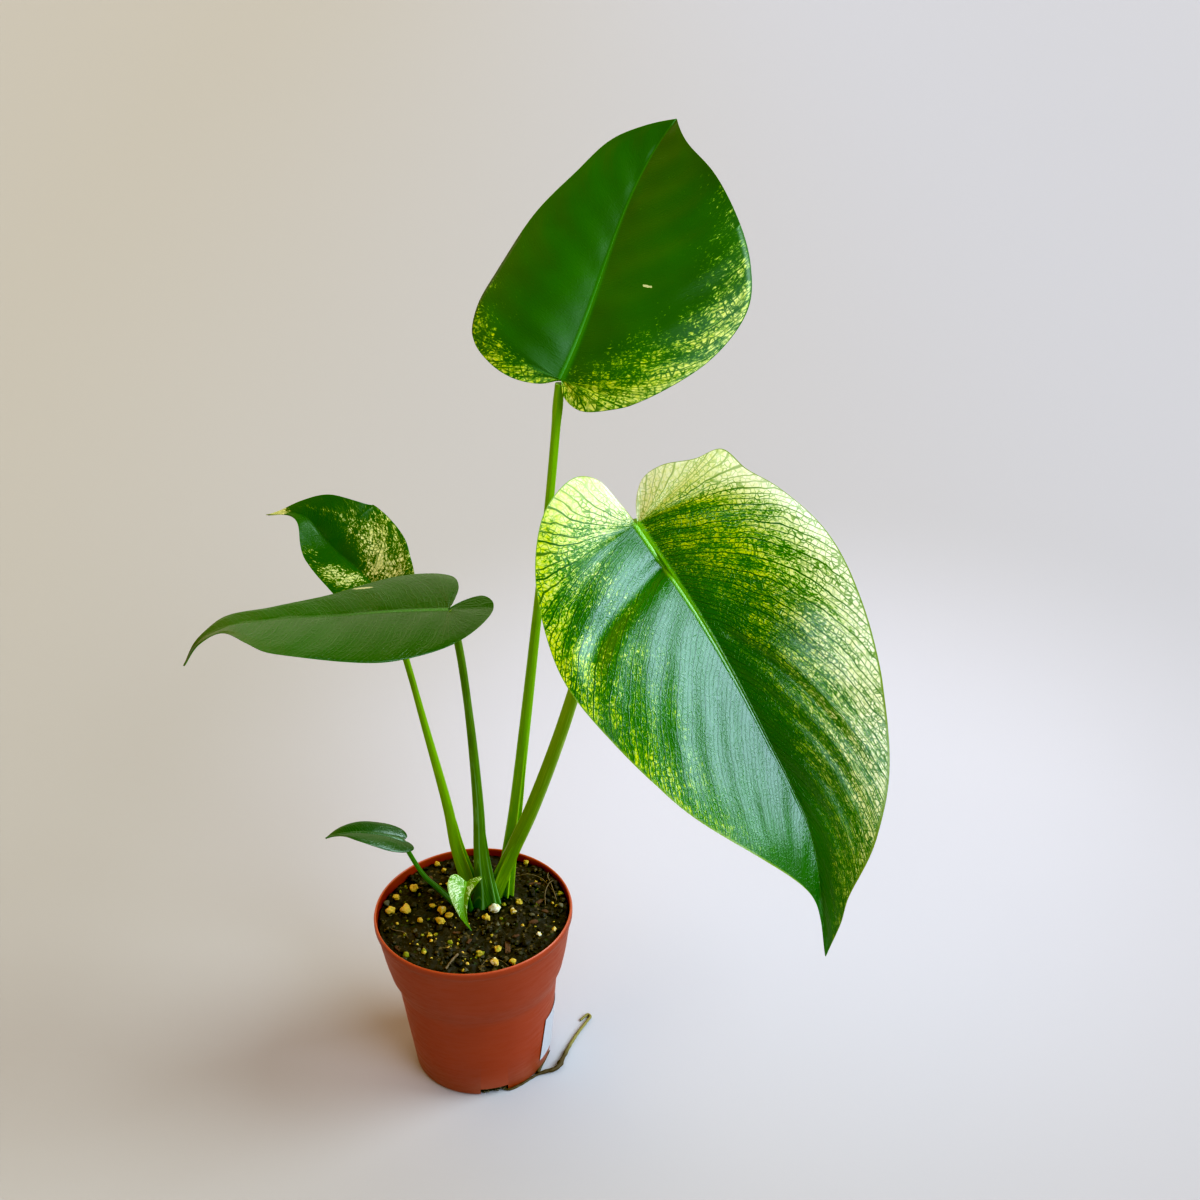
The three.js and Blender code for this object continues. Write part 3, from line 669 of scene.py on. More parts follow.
def stalk_finish(name, colours, sheath, highlight_stripe):
    """Stalk skin: its green from the soil upwards, with fine lengthwise streaks. The edges of the
    sheath are paler, and a painted highlight stripe runs up the stalk at its given angle."""
    low, middle, high, streak = colours
    skin = Finish(name, Roughness=0.38, Specular_IOR_Level=0.3)
    along, across = skin.attribute("along"), skin.attribute("round")
    vein = skin.noise(skin.join(skin.times(across, 2.2), skin.times(along, 0.03)), 1.6, 3)
    cloud = skin.noise(skin.place(), 40, 3)
    # Near the soil the stalk has its low colour. On the level, low and tiny stalks it is darker: painted
    # shade where the stalks meet the soil.
    colour = skin.mix(skin.ramp(along, 14, 50), low, middle)
    colour = skin.mix(skin.ramp(along, 60, 190), colour, high)
    colour = skin.mix(skin.ramp(vein, 0.52, 0.72, 0, 0.55), colour, streak)
    shade = tuple(c * 0.55 for c in middle)
    colour = skin.mix(skin.ramp(cloud, 0.5, 0.8, 0, 0.6), colour, shade)
    turned = skin.attribute("turned")
    # The sheath's two edges are paler. The third pale line is a painted highlight, a stripe where window
    # light would shine on the stalk.
    for place, half_width, top in ((sheath_edge, 0.14, sheath), (-sheath_edge, 0.14, sheath), highlight_stripe):
        beside = skin.calc("ABSOLUTE", skin.minus(turned, place))
        pale = skin.times(skin.ramp(beside, half_width, 0), skin.ramp(along, top, top * 0.6, 0, 0.7))
        colour = skin.mix(pale, colour, streak)
    return skin.done(
        Base_Color=colour,
        Roughness=skin.ramp(cloud, 0.3, 0.7, 0.3, 0.46),
        Normal=skin.bump(vein, 0.12, 0.6),
    )


def add_stalk(name, path, colours, radius, sheath, wing=1, opens=(0, -1, 0), flare=0.3, highlight_stripe=(3, 0.1, 60)):
    """A stalk up its path. Its sheath is so long and has edges that stand out by the wing. Its
    radius goes from low to high, and its colours are low, middle, high and streak."""
    length = smooth_path(path)[1][-1]
    reach = stalk_reach(length, radius, sheath, wing, flare)
    piece = tube(path, opens, int(length / ring_spacing), stalk_sides, reach)
    skin = stalk_finish(f"stalk_{name}", colours, sheath, highlight_stripe)
    finish_piece(piece, f"Stalk_{name}", skin, "stalk_green", f"stalk_{name}", angle=60)


add_stalk(
    "top", radius=(4.2, 2.1), sheath=112, wing=3, opens=(0.5, -0.85, 0),
    colours=((0.17, 0.34, 0.02), (0.19, 0.42, 0.008), (0.2, 0.4, 0.008), (0.34, 0.5, 0.06)),
    path=[
        (13, 18, 78), (15.5, 18, 94), (18.5, 18.5, 115), (24, 19, 147), (32, 20, 202), (38.5, 20, 249),
        (49, 20, 326), (56, 20, 385.5),
    ],
)
add_stalk(
    "large", radius=(4.6, 3), sheath=60, flare=0, wing=3.5, opens=(-0.7, -0.7, 0),
    colours=((0.18, 0.32, 0.03), (0.16, 0.3, 0.01), (0.21, 0.37, 0.014), (0.34, 0.5, 0.08)),
    path=[
        (6, 15, 78), (11, 14, 96), (20.5, 10.5, 124), (33, 4, 157), (50, -6, 210), (71.5, -23.5, 290),
        (84, -31, 330), (89.3, -38.6, 341.7),
    ],
)
add_stalk(
    "back", radius=(4.2, 1.7), sheath=62, wing=3.2, opens=(0.9, -0.4, 0),
    colours=((0.19, 0.38, 0.012), (0.19, 0.36, 0.008), (0.17, 0.32, 0.008), (0.32, 0.46, 0.03)),
    path=[
        (1, 17, 78), (-3.5, 18, 99), (-9, 23.5, 121), (-12, 29, 141), (-22, 41, 187), (-30.5, 51.5, 224),
        (-39, 60, 254.5),
    ],
)
add_stalk(
    "level", radius=(4.6, 2), sheath=62, wing=3, opens=(0.9, -0.45, 0), flare=3.4, highlight_stripe=(-1.15, 0.2, 120),
    colours=((0.04, 0.12, 0.008), (0.1, 0.22, 0.012), (0.13, 0.25, 0.012), (0.2, 0.38, 0.14)),
    path=[
        (4, 8, 78), (5.5, 8, 99), (5, 10, 128), (5.5, 12, 153), (4, 15.5, 206), (0.5, 19, 251),
        (-3, 20, 268),
    ],
)
add_stalk(
    "low", radius=(2.1, 1.2), sheath=20,
    colours=((0.05, 0.14, 0.01), (0.06, 0.2, 0.01), (0.08, 0.24, 0.01), (0.12, 0.28, 0.03)),
    path=[
        (-4, 7.5, 80), (-10, 7, 95), (-18, 9.5, 103.5), (-25.5, 11.5, 111), (-33, 15, 124),
        (-35.7, 16, 131),
    ],
)
add_stalk(
    "tiny", radius=(1.8, 1), sheath=16,
    colours=((0.05, 0.14, 0.01), (0.06, 0.2, 0.01), (0.08, 0.24, 0.01), (0.2, 0.36, 0.1)),
    path=[(0, 7, 80), (-1.5, 3, 95), (-2.2, -1, 108), (-2.3, -3.6, 118)],
)


# Leaf blades
# Leathery heart-shaped blades, thinner at the edge, with a raised midrib and pressed-in side
# veins. A blade is cut flat from a grid whose rows are its side veins, thickened, embossed and
# then bent round its midrib. "along" and "across" are millimetres on the flat blade from the notch
# at the stalk. Across is negative on the left side, seen from above with the tip ahead.
blade_thickness = 0.7
tip_rib_radius = 0.35
edge_thinning = 0.45
vein_hook = 0.3
row_crowding = 1.25
column_crowding = 1.4
belt_reach = 0.6


def smooth_step(value, low, high):
    """0 below low, 1 above high, and a soft slope between."""
    x = np.clip((value - low) / (high - low), 0, 1)
    return x * x * (3 - 2 * x)


def midrib_line(points):
    """The midrib as a measured line. Four points are a curve with two handles."""
    if len(points) > 4:
        return smooth_path(points)
    a, b, c, d = [np.array(p, float) for p in points]
    t = np.linspace(0, 1, 401)[:, None]
    return measured((1 - t) ** 3 * a + 3 * t * (1 - t) ** 2 * b + 3 * t * t * (1 - t) * c + t ** 3 * d)


def bend_blade(leaf, along, across, lift):
    """Where points of the flat blade lie on the real one."""
    line, lengths = leaf.line
    right = (across >= 0).astype(int)
    t = np.clip(along / lengths[-1], 0, 1)
    spot, way = follow(line, lengths, np.clip(along, 0, lengths[-1]))
    spot = spot - way * np.maximum(-along, 0)[:, None]
    start, end = [np.array(f, float) for f in leaf.facing]
    facing = start + (end - start) * t[:, None]
    facing = facing - way * (facing * way).sum(1, keepdims=True)
    facing = facing / np.linalg.norm(facing, axis=1, keepdims=True)
    beside = np.cross(way, facing)
    base_fold, tip_fold = np.radians(leaf.fold)[right], np.radians(leaf.tip_fold)[right]
    fold = base_fold + (tip_fold - base_fold) * t
    bend = -np.radians(leaf.curl)[right] / leaf.half_width
    outward = np.abs(across)
    sideways = (np.sin(fold + bend * outward) - np.sin(fold)) / bend
    wave = leaf.ripple * (outward / leaf.half_width) ** 2
    wave = wave * np.sin(along / leaf.ripple_length + 2 * right)
    height = (np.cos(fold) - np.cos(fold + bend * outward)) / bend + wave + lift
    return spot + beside * (np.sign(across) * sideways)[:, None] + facing * height[:, None]


def vein_bow(reach, place):
    """How far a side vein has gone towards the tip when it is this far out: it hooks at its end,
    but not in the outer part of a lobe."""
    hook = vein_hook * smooth_step(place, -0.9, -0.3)
    return (1 - hook) * reach ** 1.35 + hook * reach ** 6


def vein_rows(leaf, side, lobe_rows, body_rows):
    """For each side vein of one half, from the notch edge of its lobe to the tip: where on the
    midrib it starts, and where on the margin it ends. They lean more towards the tip."""
    sign = -1 if side == 0 else 1
    outline, around = smooth_path([(x, sign * y) for x, y in leaf.margin[side]])
    length = leaf.line[1][-1]
    lean = leaf.lean * np.exp(leaf.sweep * outline[:, 0] / length)
    origin = outline[:, 0] - lean * outline[:, 1] * sign
    shoulder = np.nonzero(origin <= 0)[0][-1] + 1
    lobe = np.linspace(0, around[shoulder], lobe_rows + 1)
    roots = length * (np.arange(1, body_rows + 1) / body_rows) ** row_crowding
    rising = np.maximum.accumulate(origin[shoulder:]) + np.arange(len(origin) - shoulder) * 1e-6
    body = np.interp(roots, rising, around[shoulder:])
    places = np.concatenate([lobe, body])
    ends = np.stack([np.interp(places, around, outline[:, k]) for k in (0, 1)], axis=-1)
    ends[-1] = (length, 0)
    return np.concatenate([np.zeros(lobe_rows + 1), roots]), ends


def table_value(table, row, reach):
    """A value that a few rows of numbers give. Each row is a place along the leaf and then the
    values there, evenly spaced from the midrib to the margin."""
    keys = [entry[0] for entry in table]
    belts = [np.interp(row, keys, column) for column in list(zip(*table))[1:]]
    value = belts[0]
    for number in range(len(belts) - 1):
        share = np.clip(reach * (len(belts) - 1) - number, 0, 1)
        value = value + (belts[number + 1] - belts[number]) * share
    return value


def make_blade(leaf):
    """The blade's mesh, with the attributes that its material reads."""
    leaf.line = midrib_line(leaf.midrib)
    length = leaf.line[1][-1]
    lobe_rows, body_rows, columns = leaf.grid
    rows = lobe_rows + body_rows
    bpy.ops.mesh.primitive_grid_add(x_subdivisions=rows, y_subdivisions=2 * columns, size=2)
    blade = bpy.context.object
    grid = read_points(blade)
    row = np.rint((grid[:, 0] + 1) / 2 * rows).astype(int)
    column = np.rint(grid[:, 1] * columns).astype(int)
    reach = (np.abs(column) / columns) ** column_crowding
    body_places = (np.arange(1, body_rows + 1) / body_rows) ** row_crowding
    places = np.concatenate([np.arange(lobe_rows + 1) / lobe_rows - 1, body_places])
    place = places[row]
    along, across, step_over, step_out = np.zeros((4, len(grid)))
    for side in (0, 1):
        origin, ends = vein_rows(leaf, side, lobe_rows, body_rows)
        half = (column < 0) if side == 0 else (column >= 0)
        root, end = origin[row[half]], ends[row[half]]
        along[half] = root + (end[:, 0] - root) * vein_bow(reach[half], place[half])
        across[half] = end[:, 1] * reach[half]
        bowed = vein_bow(belt_reach, places)
        belt = np.stack([origin + (ends[:, 0] - origin) * bowed, ends[:, 1] * belt_reach], axis=-1)
        step_over[half] = measured(belt)[1][row[half]]
        vein_length = np.linalg.norm(end - np.stack([root, 0 * root], axis=-1), axis=1)
        step_out[half] = (2 * side - 1) * reach[half] * vein_length
    write_points(blade, np.stack([along, across, 0 * along], axis=-1) * MM)
    values = {
        "reach": reach, "over": step_over, "out": step_out, "row": place, "ahead": along, "aside": across,
    }
    for key in ("cream", "tone", "shine"):
        left, right = [table_value(table, place, reach) for table in getattr(leaf, key)]
        values[key] = np.where(column < 0, left, right)
    for key, value in values.items():
        note(blade, key, value)
    bpy.ops.object.mode_set(mode="EDIT")
    weld(0.02 * MM)
    if sum(face.normal.z * face.area for face in blade.data.polygons) < 0:
        blade.data.flip_normals()
    sheet_points = len(blade.data.vertices)
    apply_modifier(blade, "SOLIDIFY", thickness=blade_thickness * MM, offset=0, use_even_offset=False)
    emboss_blade(blade, leaf, sheet_points)
    return blade


def emboss_blade(blade, leaf, sheet_points):
    """Presses the veins into the flat blade, thins its edge, and bends it into place."""
    flat = read_points(blade) / MM
    read = {}
    for key in ("reach", "over", "out", "row"):
        read[key] = np.empty(len(flat))
        blade.data.attributes[key].data.foreach_get("value", read[key])
    along, across, lift = flat.T
    length = leaf.line[1][-1]
    under = (np.arange(len(flat)) >= sheet_points).astype(float)
    if lift[under > 0].mean() > 0:
        under = 1 - under
    note(blade, "under", under)
    t = np.clip(along / length, 0, 1)
    rib_radius = leaf.rib * (1 - t) ** 1.4 + tip_rib_radius * t
    start = smooth_step(along, -leaf.rib, 0.5)
    rib = np.exp(-(across / (0.85 * rib_radius)) ** 4) * start
    valley = np.exp(-((np.abs(across) - 2.2 * rib_radius) / (1.1 * rib_radius)) ** 2) * start * (1 - t) ** 3
    note(blade, "rib", rib * (1 - leaf.rib_fade * smooth_step(t, 0.05, 0.5)))
    thin = 1 - edge_thinning * smooth_step(read["reach"], 0.85, 1)
    edge_fade = smooth_step(read["reach"], 1, 0.8) * smooth_step(read["reach"], 0.02, 0.2)
    turn = 2 * math.pi * read["over"] / leaf.quilt_spacing
    swell = 0.6 * np.cos(turn + 0.4 * np.sin(read["out"] / 14))
    swell = swell + 0.4 * np.cos(0.62 * turn + read["out"] / 23 + 1.3)
    quilt = leaf.quilt * edge_fade * swell
    for side, origin, drift, depth, width, inner, outer in leaf.creases:
        half = (across < 0) if side == 0 else (across >= 0)
        crease = np.exp(-((read["row"] - origin - drift * read["reach"]) / width) ** 2) * half
        quilt = quilt - depth * crease * smooth_step(read["reach"], inner, inner + 0.15) * smooth_step(
            read["reach"], outer, outer - 0.25,
        )
    top_rise = leaf.rib_rise * rib_radius * (rib - 0.12 * valley) + quilt
    under_rise = 0.9 * rib_radius * rib - 0.8 * quilt
    height = lift * thin + np.where(under > 0, -under_rise, top_rise)
    write_points(blade, bend_blade(leaf, along, across, height) * MM)


mark_level = 0.51
halo_levels, halo_weight = (0.38, 0.5), 0.75
fine_vein_weight, net_weight = 0.85, 0.9
underside_colour = (0.16, 0.32, 0.08)


def netted_finish(name, leaf):
    """Green leaf tissue, cream between its veins where the marking says so. A halo of lighter green
    lies round the cream, and the veins and a fine net of cells stay green in it."""
    skin = Finish(name, Specular_IOR_Level=leaf.specular)
    over, out, reach, rib, under = [skin.attribute(key) for key in ("over", "out", "reach", "rib", "under")]
    cream, tone, shine = [skin.attribute(key) for key in ("cream", "tone", "shine")]
    where = skin.place()
    calc, plus, minus, times, noise_at = skin.calc, skin.plus, skin.minus, skin.times, skin.noise
    wander = times(minus(noise_at(where, 70, 2), 0.5), leaf.wander)
    bent = plus(over, wander)

    def sheet(across_scale, out_scale):
        return skin.join(times(bent, across_scale), times(out, out_scale))

    def side_veins(spacing, half_width):
        beat = calc("ABSOLUTE", minus(calc("FRACT", calc("DIVIDE", bent, spacing)), 0.5))
        return skin.ramp(times(beat, spacing), half_width * 1.5, half_width * 0.5)

    main_veins = side_veins(leaf.vein_spacing, leaf.vein_width)
    fine_veins = side_veins(leaf.vein_spacing / 3, leaf.vein_width * 0.75)
    flat = skin.join(plus(skin.attribute("ahead"), wander), skin.attribute("aside"))
    cell_edge = skin.cells(flat, leaf.net, feature="DISTANCE_TO_EDGE")
    patchy = skin.ramp(noise_at(sheet(0.2, 0.1), 1, 2), 0.35, 0.6, 0.35, 1)
    net = times(skin.ramp(cell_edge, leaf.net_width, leaf.net_width * 0.35), patchy)
    cell_luck = skin.split(skin.cells(flat, leaf.net, out="Color"), "X")
    clumps = minus(noise_at(sheet(0.14, 0.05), 1, 3, 0.6), 0.5)
    unsure = times(times(cream, minus(1.15, cream)), 2.6)
    share = plus(cream, times(clumps, unsure))
    blotch = noise_at(sheet(*leaf.fleck), 1, 5, 0.75)
    level = plus(blotch, times(minus(share, 0.5), 0.55))
    level = plus(level, times(minus(cell_luck, 0.5), leaf.cell))
    mark = skin.ramp(level, mark_level - leaf.soft, mark_level + leaf.soft)
    halo = skin.ramp(level, *halo_levels)
    veins = calc("MAXIMUM", times(fine_veins, fine_vein_weight), main_veins)
    lines = calc("MAXIMUM", veins, times(net, net_weight))
    edge = skin.ramp(reach, 0.99, 0.998)
    faint = times(lines, skin.ramp(cream, 0.6, 1.1, 1, 0.35))
    keep = minus(1.0, calc("MAXIMUM", calc("MAXIMUM", faint, edge), rib))
    depth = noise_at(where, 30, 3)
    green = skin.mix(depth, leaf.dark, leaf.green)
    green = skin.mix(skin.ramp(cream, 0.5, 1, 0, 0.6), green, leaf.light)
    green = skin.mix(times(times(halo, halo_weight), minus(1.0, lines)), green, leaf.light)
    fine = noise_at(sheet(1.1, 0.5), 1, 2)
    pale = skin.mix(plus(tone, minus(fine, 0.5)), leaf.yellow, leaf.white)
    colour = skin.mix(times(mark, keep), green, pale)
    drawn = times(veins, skin.ramp(cream, 0.5, 0.9, leaf.vein_tint, leaf.vein_tint * 0.3))
    colour = skin.mix(drawn, colour, leaf.vein_colour)
    for ahead, aside, half_length, half_width in leaf.scars:
        over_there = calc("DIVIDE", minus(skin.attribute("ahead"), ahead), half_length)
        out_there = calc("DIVIDE", minus(skin.attribute("aside"), aside), half_width)
        away = skin.add("VectorMath", {0: skin.join(over_there, out_there)}, "Value", operation="LENGTH")
        frayed = plus(away, times(minus(noise_at(where, 700, 2), 0.5), 1.2))
        colour = skin.mix(skin.ramp(frayed, 1.15, 0.75), colour, leaf.scar_colour)
    dry_tip = skin.ramp(skin.attribute("row"), 0.93, 0.98, 0, leaf.dry_tip)
    colour = skin.mix(dry_tip, colour, leaf.dry_colour)
    colour = skin.mix(edge, colour, leaf.edge_colour)
    colour = skin.mix(rib, colour, leaf.rib_colour)
    colour = skin.mix(times(under, 0.45), colour, underside_colour)
    grain = noise_at(sheet(1.3, 0.3), 1, 3, 0.6)
    relief = minus(grain, times(lines, leaf.line_relief))
    gloss = plus(shine, times(minus(depth, 0.5), 0.5))
    return skin.done(
        Base_Color=colour,
        Roughness=skin.ramp(gloss, 0.0, 1.0, leaf.matt, leaf.gloss),
        Normal=skin.bump(relief, leaf.grain, 0.7),
    )


usual_blade = dict(
    fold=(12, 12), tip_fold=(12, 12), curl=(25, 25), ripple=0, ripple_length=12, lean=0.5, sweep=0.8,
    scar_colour=(0.5, 0.5, 0.24), dry_tip=0, dry_colour=(0.12, 0.1, 0.02), specular=1.0, net=0.3,
    net_width=0.12, cell=0.08, soft=0.025, line_relief=0.5, fleck=(1.15, 0.42), vein_spacing=8.7,
    vein_width=0.34, wander=5, quilt=0.3, quilt_spacing=18, rib_fade=0.5, rib_rise=0.35, matt=0.32,
    gloss=0.16, grain=0.15, vein_tint=0, vein_colour=(0.1, 0.22, 0.06), dark=(0.012, 0.105, 0.001),
    green=(0.035, 0.2, 0.002), light=(0.13, 0.34, 0.004), yellow=(0.48, 0.52, 0.012),
    white=(0.82, 0.8, 0.42), rib_colour=(0.08, 0.3, 0.006), edge_colour=(0.03, 0.12, 0.006),
    creases=[], scars=[], cream=[[(0, 0)]] * 2, tone=[[(0, 0)]] * 2, shine=[[(0, 0.5)]] * 2,
)


def add_blade(name, slot="blade_netted", **shape):
    """A blade on its midrib, from the usual values and its own. Pairs are left and right, angles are
    in degrees, and tables have a row of numbers for each place along the leaf. A crease is side,
    place, drift, depth, width, and how far out it starts and ends. A scar is place and half size."""
    leaf = SimpleNamespace(**{**usual_blade, **shape})
    blade = make_blade(leaf)
    skin = netted_finish(f"blade_{name}", leaf)
    finish_piece(blade, f"Blade_{name}", skin, slot, f"blade_{name}", angle=80)


# The newest leaf stands highest and leans back. Only its base is marked.
add_blade(
    "top", fold=(20, 10), tip_fold=(20, 10), curl=(40, 25), half_width=60, rib=2, ripple=1.2,
    grid=(60, 150, 44), quilt=0.3, lean=0.4, sweep=1.2, grain=0.1, dark=(0.011, 0.072, 0.001),
    green=(0.026, 0.14, 0.0015), rib_colour=(0.04, 0.2, 0.004), matt=0.46, gloss=0.32, specular=0.42,
    rib_rise=0.15, net=0.34, net_width=0.16, cell=0.12, soft=0.075, fleck=(0.9, 0.5), line_relief=0.25,
    midrib=[(56.7, 20, 387.4), (79.3, 45, 424), (84.4, 95.3, 449.2), (115.2, 118, 480.5)],
    facing=[(-0.1, -0.75, 0.66), (-0.1, -0.3, 0.95)],
    margin=[[
        (0, 0), (-6, 8), (-9, 20), (-7, 33), (1, 46), (20, 51), (45, 49), (76, 42), (104, 30), (125, 22),
        (138, 11), (148.4, 0),
    ], [
        (0, 0), (-7, 5), (-10, 15), (-4, 28), (10, 45), (31, 62), (56, 71), (76, 67), (102, 54), (125, 35),
        (138, 14), (148.4, 0),
    ]],
    cream=[[
        (-1, 0.4, 0.5, 0.55, 0.6, 0.6), (-0.75, 0.1, 0.35, 0.45, 0.5, 0.55),
        (-0.5, 0, 0.25, 0.4, 0.48, 0.52), (-0.25, 0, 0.08, 0.3, 0.42, 0.42), (0, 0, 0, 0.05, 0.22, 0.28),
        (0.1, 0, 0, 0, 0.05, 0.15), (0.2, 0, 0, 0, 0, 0.05), (0.3, 0, 0, 0, 0, 0),
    ], [
        (-1, 0.55, 0.6, 0.64, 0.64, 0.66), (-0.75, 0.45, 0.56, 0.6, 0.6, 0.62),
        (-0.5, 0.4, 0.5, 0.54, 0.56, 0.6), (-0.25, 0.38, 0.48, 0.54, 0.58, 0.6),
        (0, 0.3, 0.44, 0.48, 0.55, 0.58), (0.05, 0.12, 0.36, 0.44, 0.5, 0.54),
        (0.1, 0, 0.2, 0.3, 0.46, 0.5), (0.2, 0, 0, 0.08, 0.24, 0.42), (0.3, 0, 0, 0, 0.12, 0.34),
        (0.4, 0, 0, 0, 0.05, 0.28), (0.55, 0, 0, 0, 0, 0.2), (0.7, 0, 0, 0, 0, 0.05), (0.8, 0, 0, 0, 0, 0),
    ]],
    tone=[[(-1, 0.2, 0.1, 0.1), (1, 0, 0, 0.1)], [(-1, 0.2, 0.2, 0.3), (0, 0, 0.1, 0.4), (1, 0, 0.1, 0.3)]],
    scars=[(53, 23, 0.7, 2.2)],
)
# The largest leaf hangs forward with its upper face to the front, marked almost all over.
add_blade(
    "large", fold=(22, 22), tip_fold=(34, 30), curl=(33, 25), half_width=75, rib=2.3, ripple=1.5,
    ripple_length=9, grid=(70, 190, 54), quilt=0.25, rib_fade=0.95, lean=0.35, sweep=2.75,
    dark=(0.01, 0.105, 0.001), green=(0.028, 0.21, 0.002), fleck=(1.5, 0.6), rib_colour=(0.2, 0.52, 0.014),
    vein_tint=0.6, vein_colour=(0.008, 0.075, 0.002), vein_width=0.3, white=(0.9, 0.92, 0.6),
    yellow=(0.54, 0.62, 0.01), light=(0.2, 0.44, 0.003), rib_rise=0.2, net=0.45, net_width=0.11,
    specular=0.85, grain=0.11, edge_colour=(0.2, 0.32, 0.03),
    midrib=[
        (89, -40, 342.5), (117, -65.5, 305), (141.5, -87, 262.5), (162.5, -107.5, 217.5),
        (167.5, -128, 169),
    ],
    facing=[(-0.1, -0.8, 0.55)] * 2,
    creases=[
        (1, 0.1, -0.065, 2.6, 0.022, -0.15, 0.95), (0, 0.05, 0, 0.5, 0.02, 0.1, 1),
        (0, 0.165, 0, 0.5, 0.02, 0.2, 1), (0, 0.26, 0, 0.7, 0.02, 0.1, 1), (0, 0.36, 0, 0.4, 0.02, 0.25, 1),
    ],
    margin=[[
        (0, 0), (-9, 6), (-15, 14), (-15, 24), (-9, 38), (-6, 50), (8, 54), (23, 61), (48, 68), (75, 66),
        (109, 58), (141, 45), (163, 30), (185, 14), (198, 9), (214.4, 0),
    ], [
        (0, 0), (-14, 1.5), (-26, 4), (-32, 12), (-28, 29), (-17, 42), (5, 56), (38, 66), (77, 62),
        (122, 47), (162, 24), (186, 4), (196, 1), (214.4, 0),
    ]],
    cream=[[
        (-1, 0.8, 0.9, 0.95, 0.95, 1), (-0.75, 0.6, 0.8, 0.9, 0.95, 1), (-0.5, 0.55, 0.75, 0.85, 0.9, 0.95),
        (-0.25, 0.4, 0.5, 0.6, 0.8, 0.95), (0, 0.36, 0.45, 0.5, 0.58, 0.9),
        (0.05, 0.32, 0.43, 0.47, 0.53, 0.82), (0.1, 0.28, 0.4, 0.44, 0.5, 0.74),
        (0.15, 0.22, 0.33, 0.4, 0.47, 0.68), (0.2, 0.16, 0.28, 0.37, 0.45, 0.6),
        (0.3, 0.08, 0.22, 0.33, 0.42, 0.53), (0.4, 0, 0.17, 0.28, 0.38, 0.47),
        (0.5, 0, 0.08, 0.24, 0.36, 0.44), (0.6, 0, 0, 0.18, 0.33, 0.41), (0.7, 0, 0, 0.08, 0.28, 0.37),
        (0.8, 0, 0, 0, 0.18, 0.32), (0.9, 0, 0, 0, 0.05, 0.2), (1, 0, 0, 0, 0, 0),
    ], [
        (-1, 0.5, 0.7, 0.85, 0.95, 1), (-0.75, 0.45, 0.65, 0.8, 0.9, 1),
        (-0.5, 0.3, 0.44, 0.54, 0.58, 0.66), (-0.25, 0.1, 0.32, 0.4, 0.46, 0.55),
        (0, 0.05, 0.26, 0.34, 0.43, 0.52), (0.05, 0.05, 0.2, 0.32, 0.36, 0.47),
        (0.1, 0, 0.14, 0.32, 0.32, 0.42), (0.2, 0, 0.05, 0.24, 0.27, 0.37), (0.3, 0, 0, 0.1, 0.18, 0.3),
        (0.4, 0, 0, 0, 0.1, 0.25), (0.5, 0, 0, 0, 0.05, 0.2), (0.6, 0, 0, 0, 0, 0.1), (0.75, 0, 0, 0, 0, 0),
    ]],
    tone=[[
        (-1, 0.7, 0.8, 0.9), (-0.5, 0.2, 0.4, 0.7), (-0.25, -0.1, 0.3, 1), (0, -0.3, 0, 1.1),
        (0.1, -0.3, -0.1, 1), (0.2, -0.3, 0, 0.8), (0.4, -0.3, 0.1, 0.5), (0.6, -0.2, 0, 0.25),
        (1, 0, 0, 0.1),
    ], [
        (-1, 0.5, 0.6, 0.8), (-0.75, 0.4, 0.6, 0.6), (-0.5, 0.4, 0.4, 0.1), (-0.25, 0.4, 0.4, 0),
        (0, 0.4, 0.3, 0), (0.2, 0.3, 0.2, 0), (0.5, 0.2, 0.1, 0), (1, 0, 0, 0),
    ]],
    shine=[[(0, 0.9)], [(-1, 0.4, 0.4, 0.4), (0.1, 0.7, 0.8, 0.5), (1, 0.8, 0.8, 0.5)]],
)
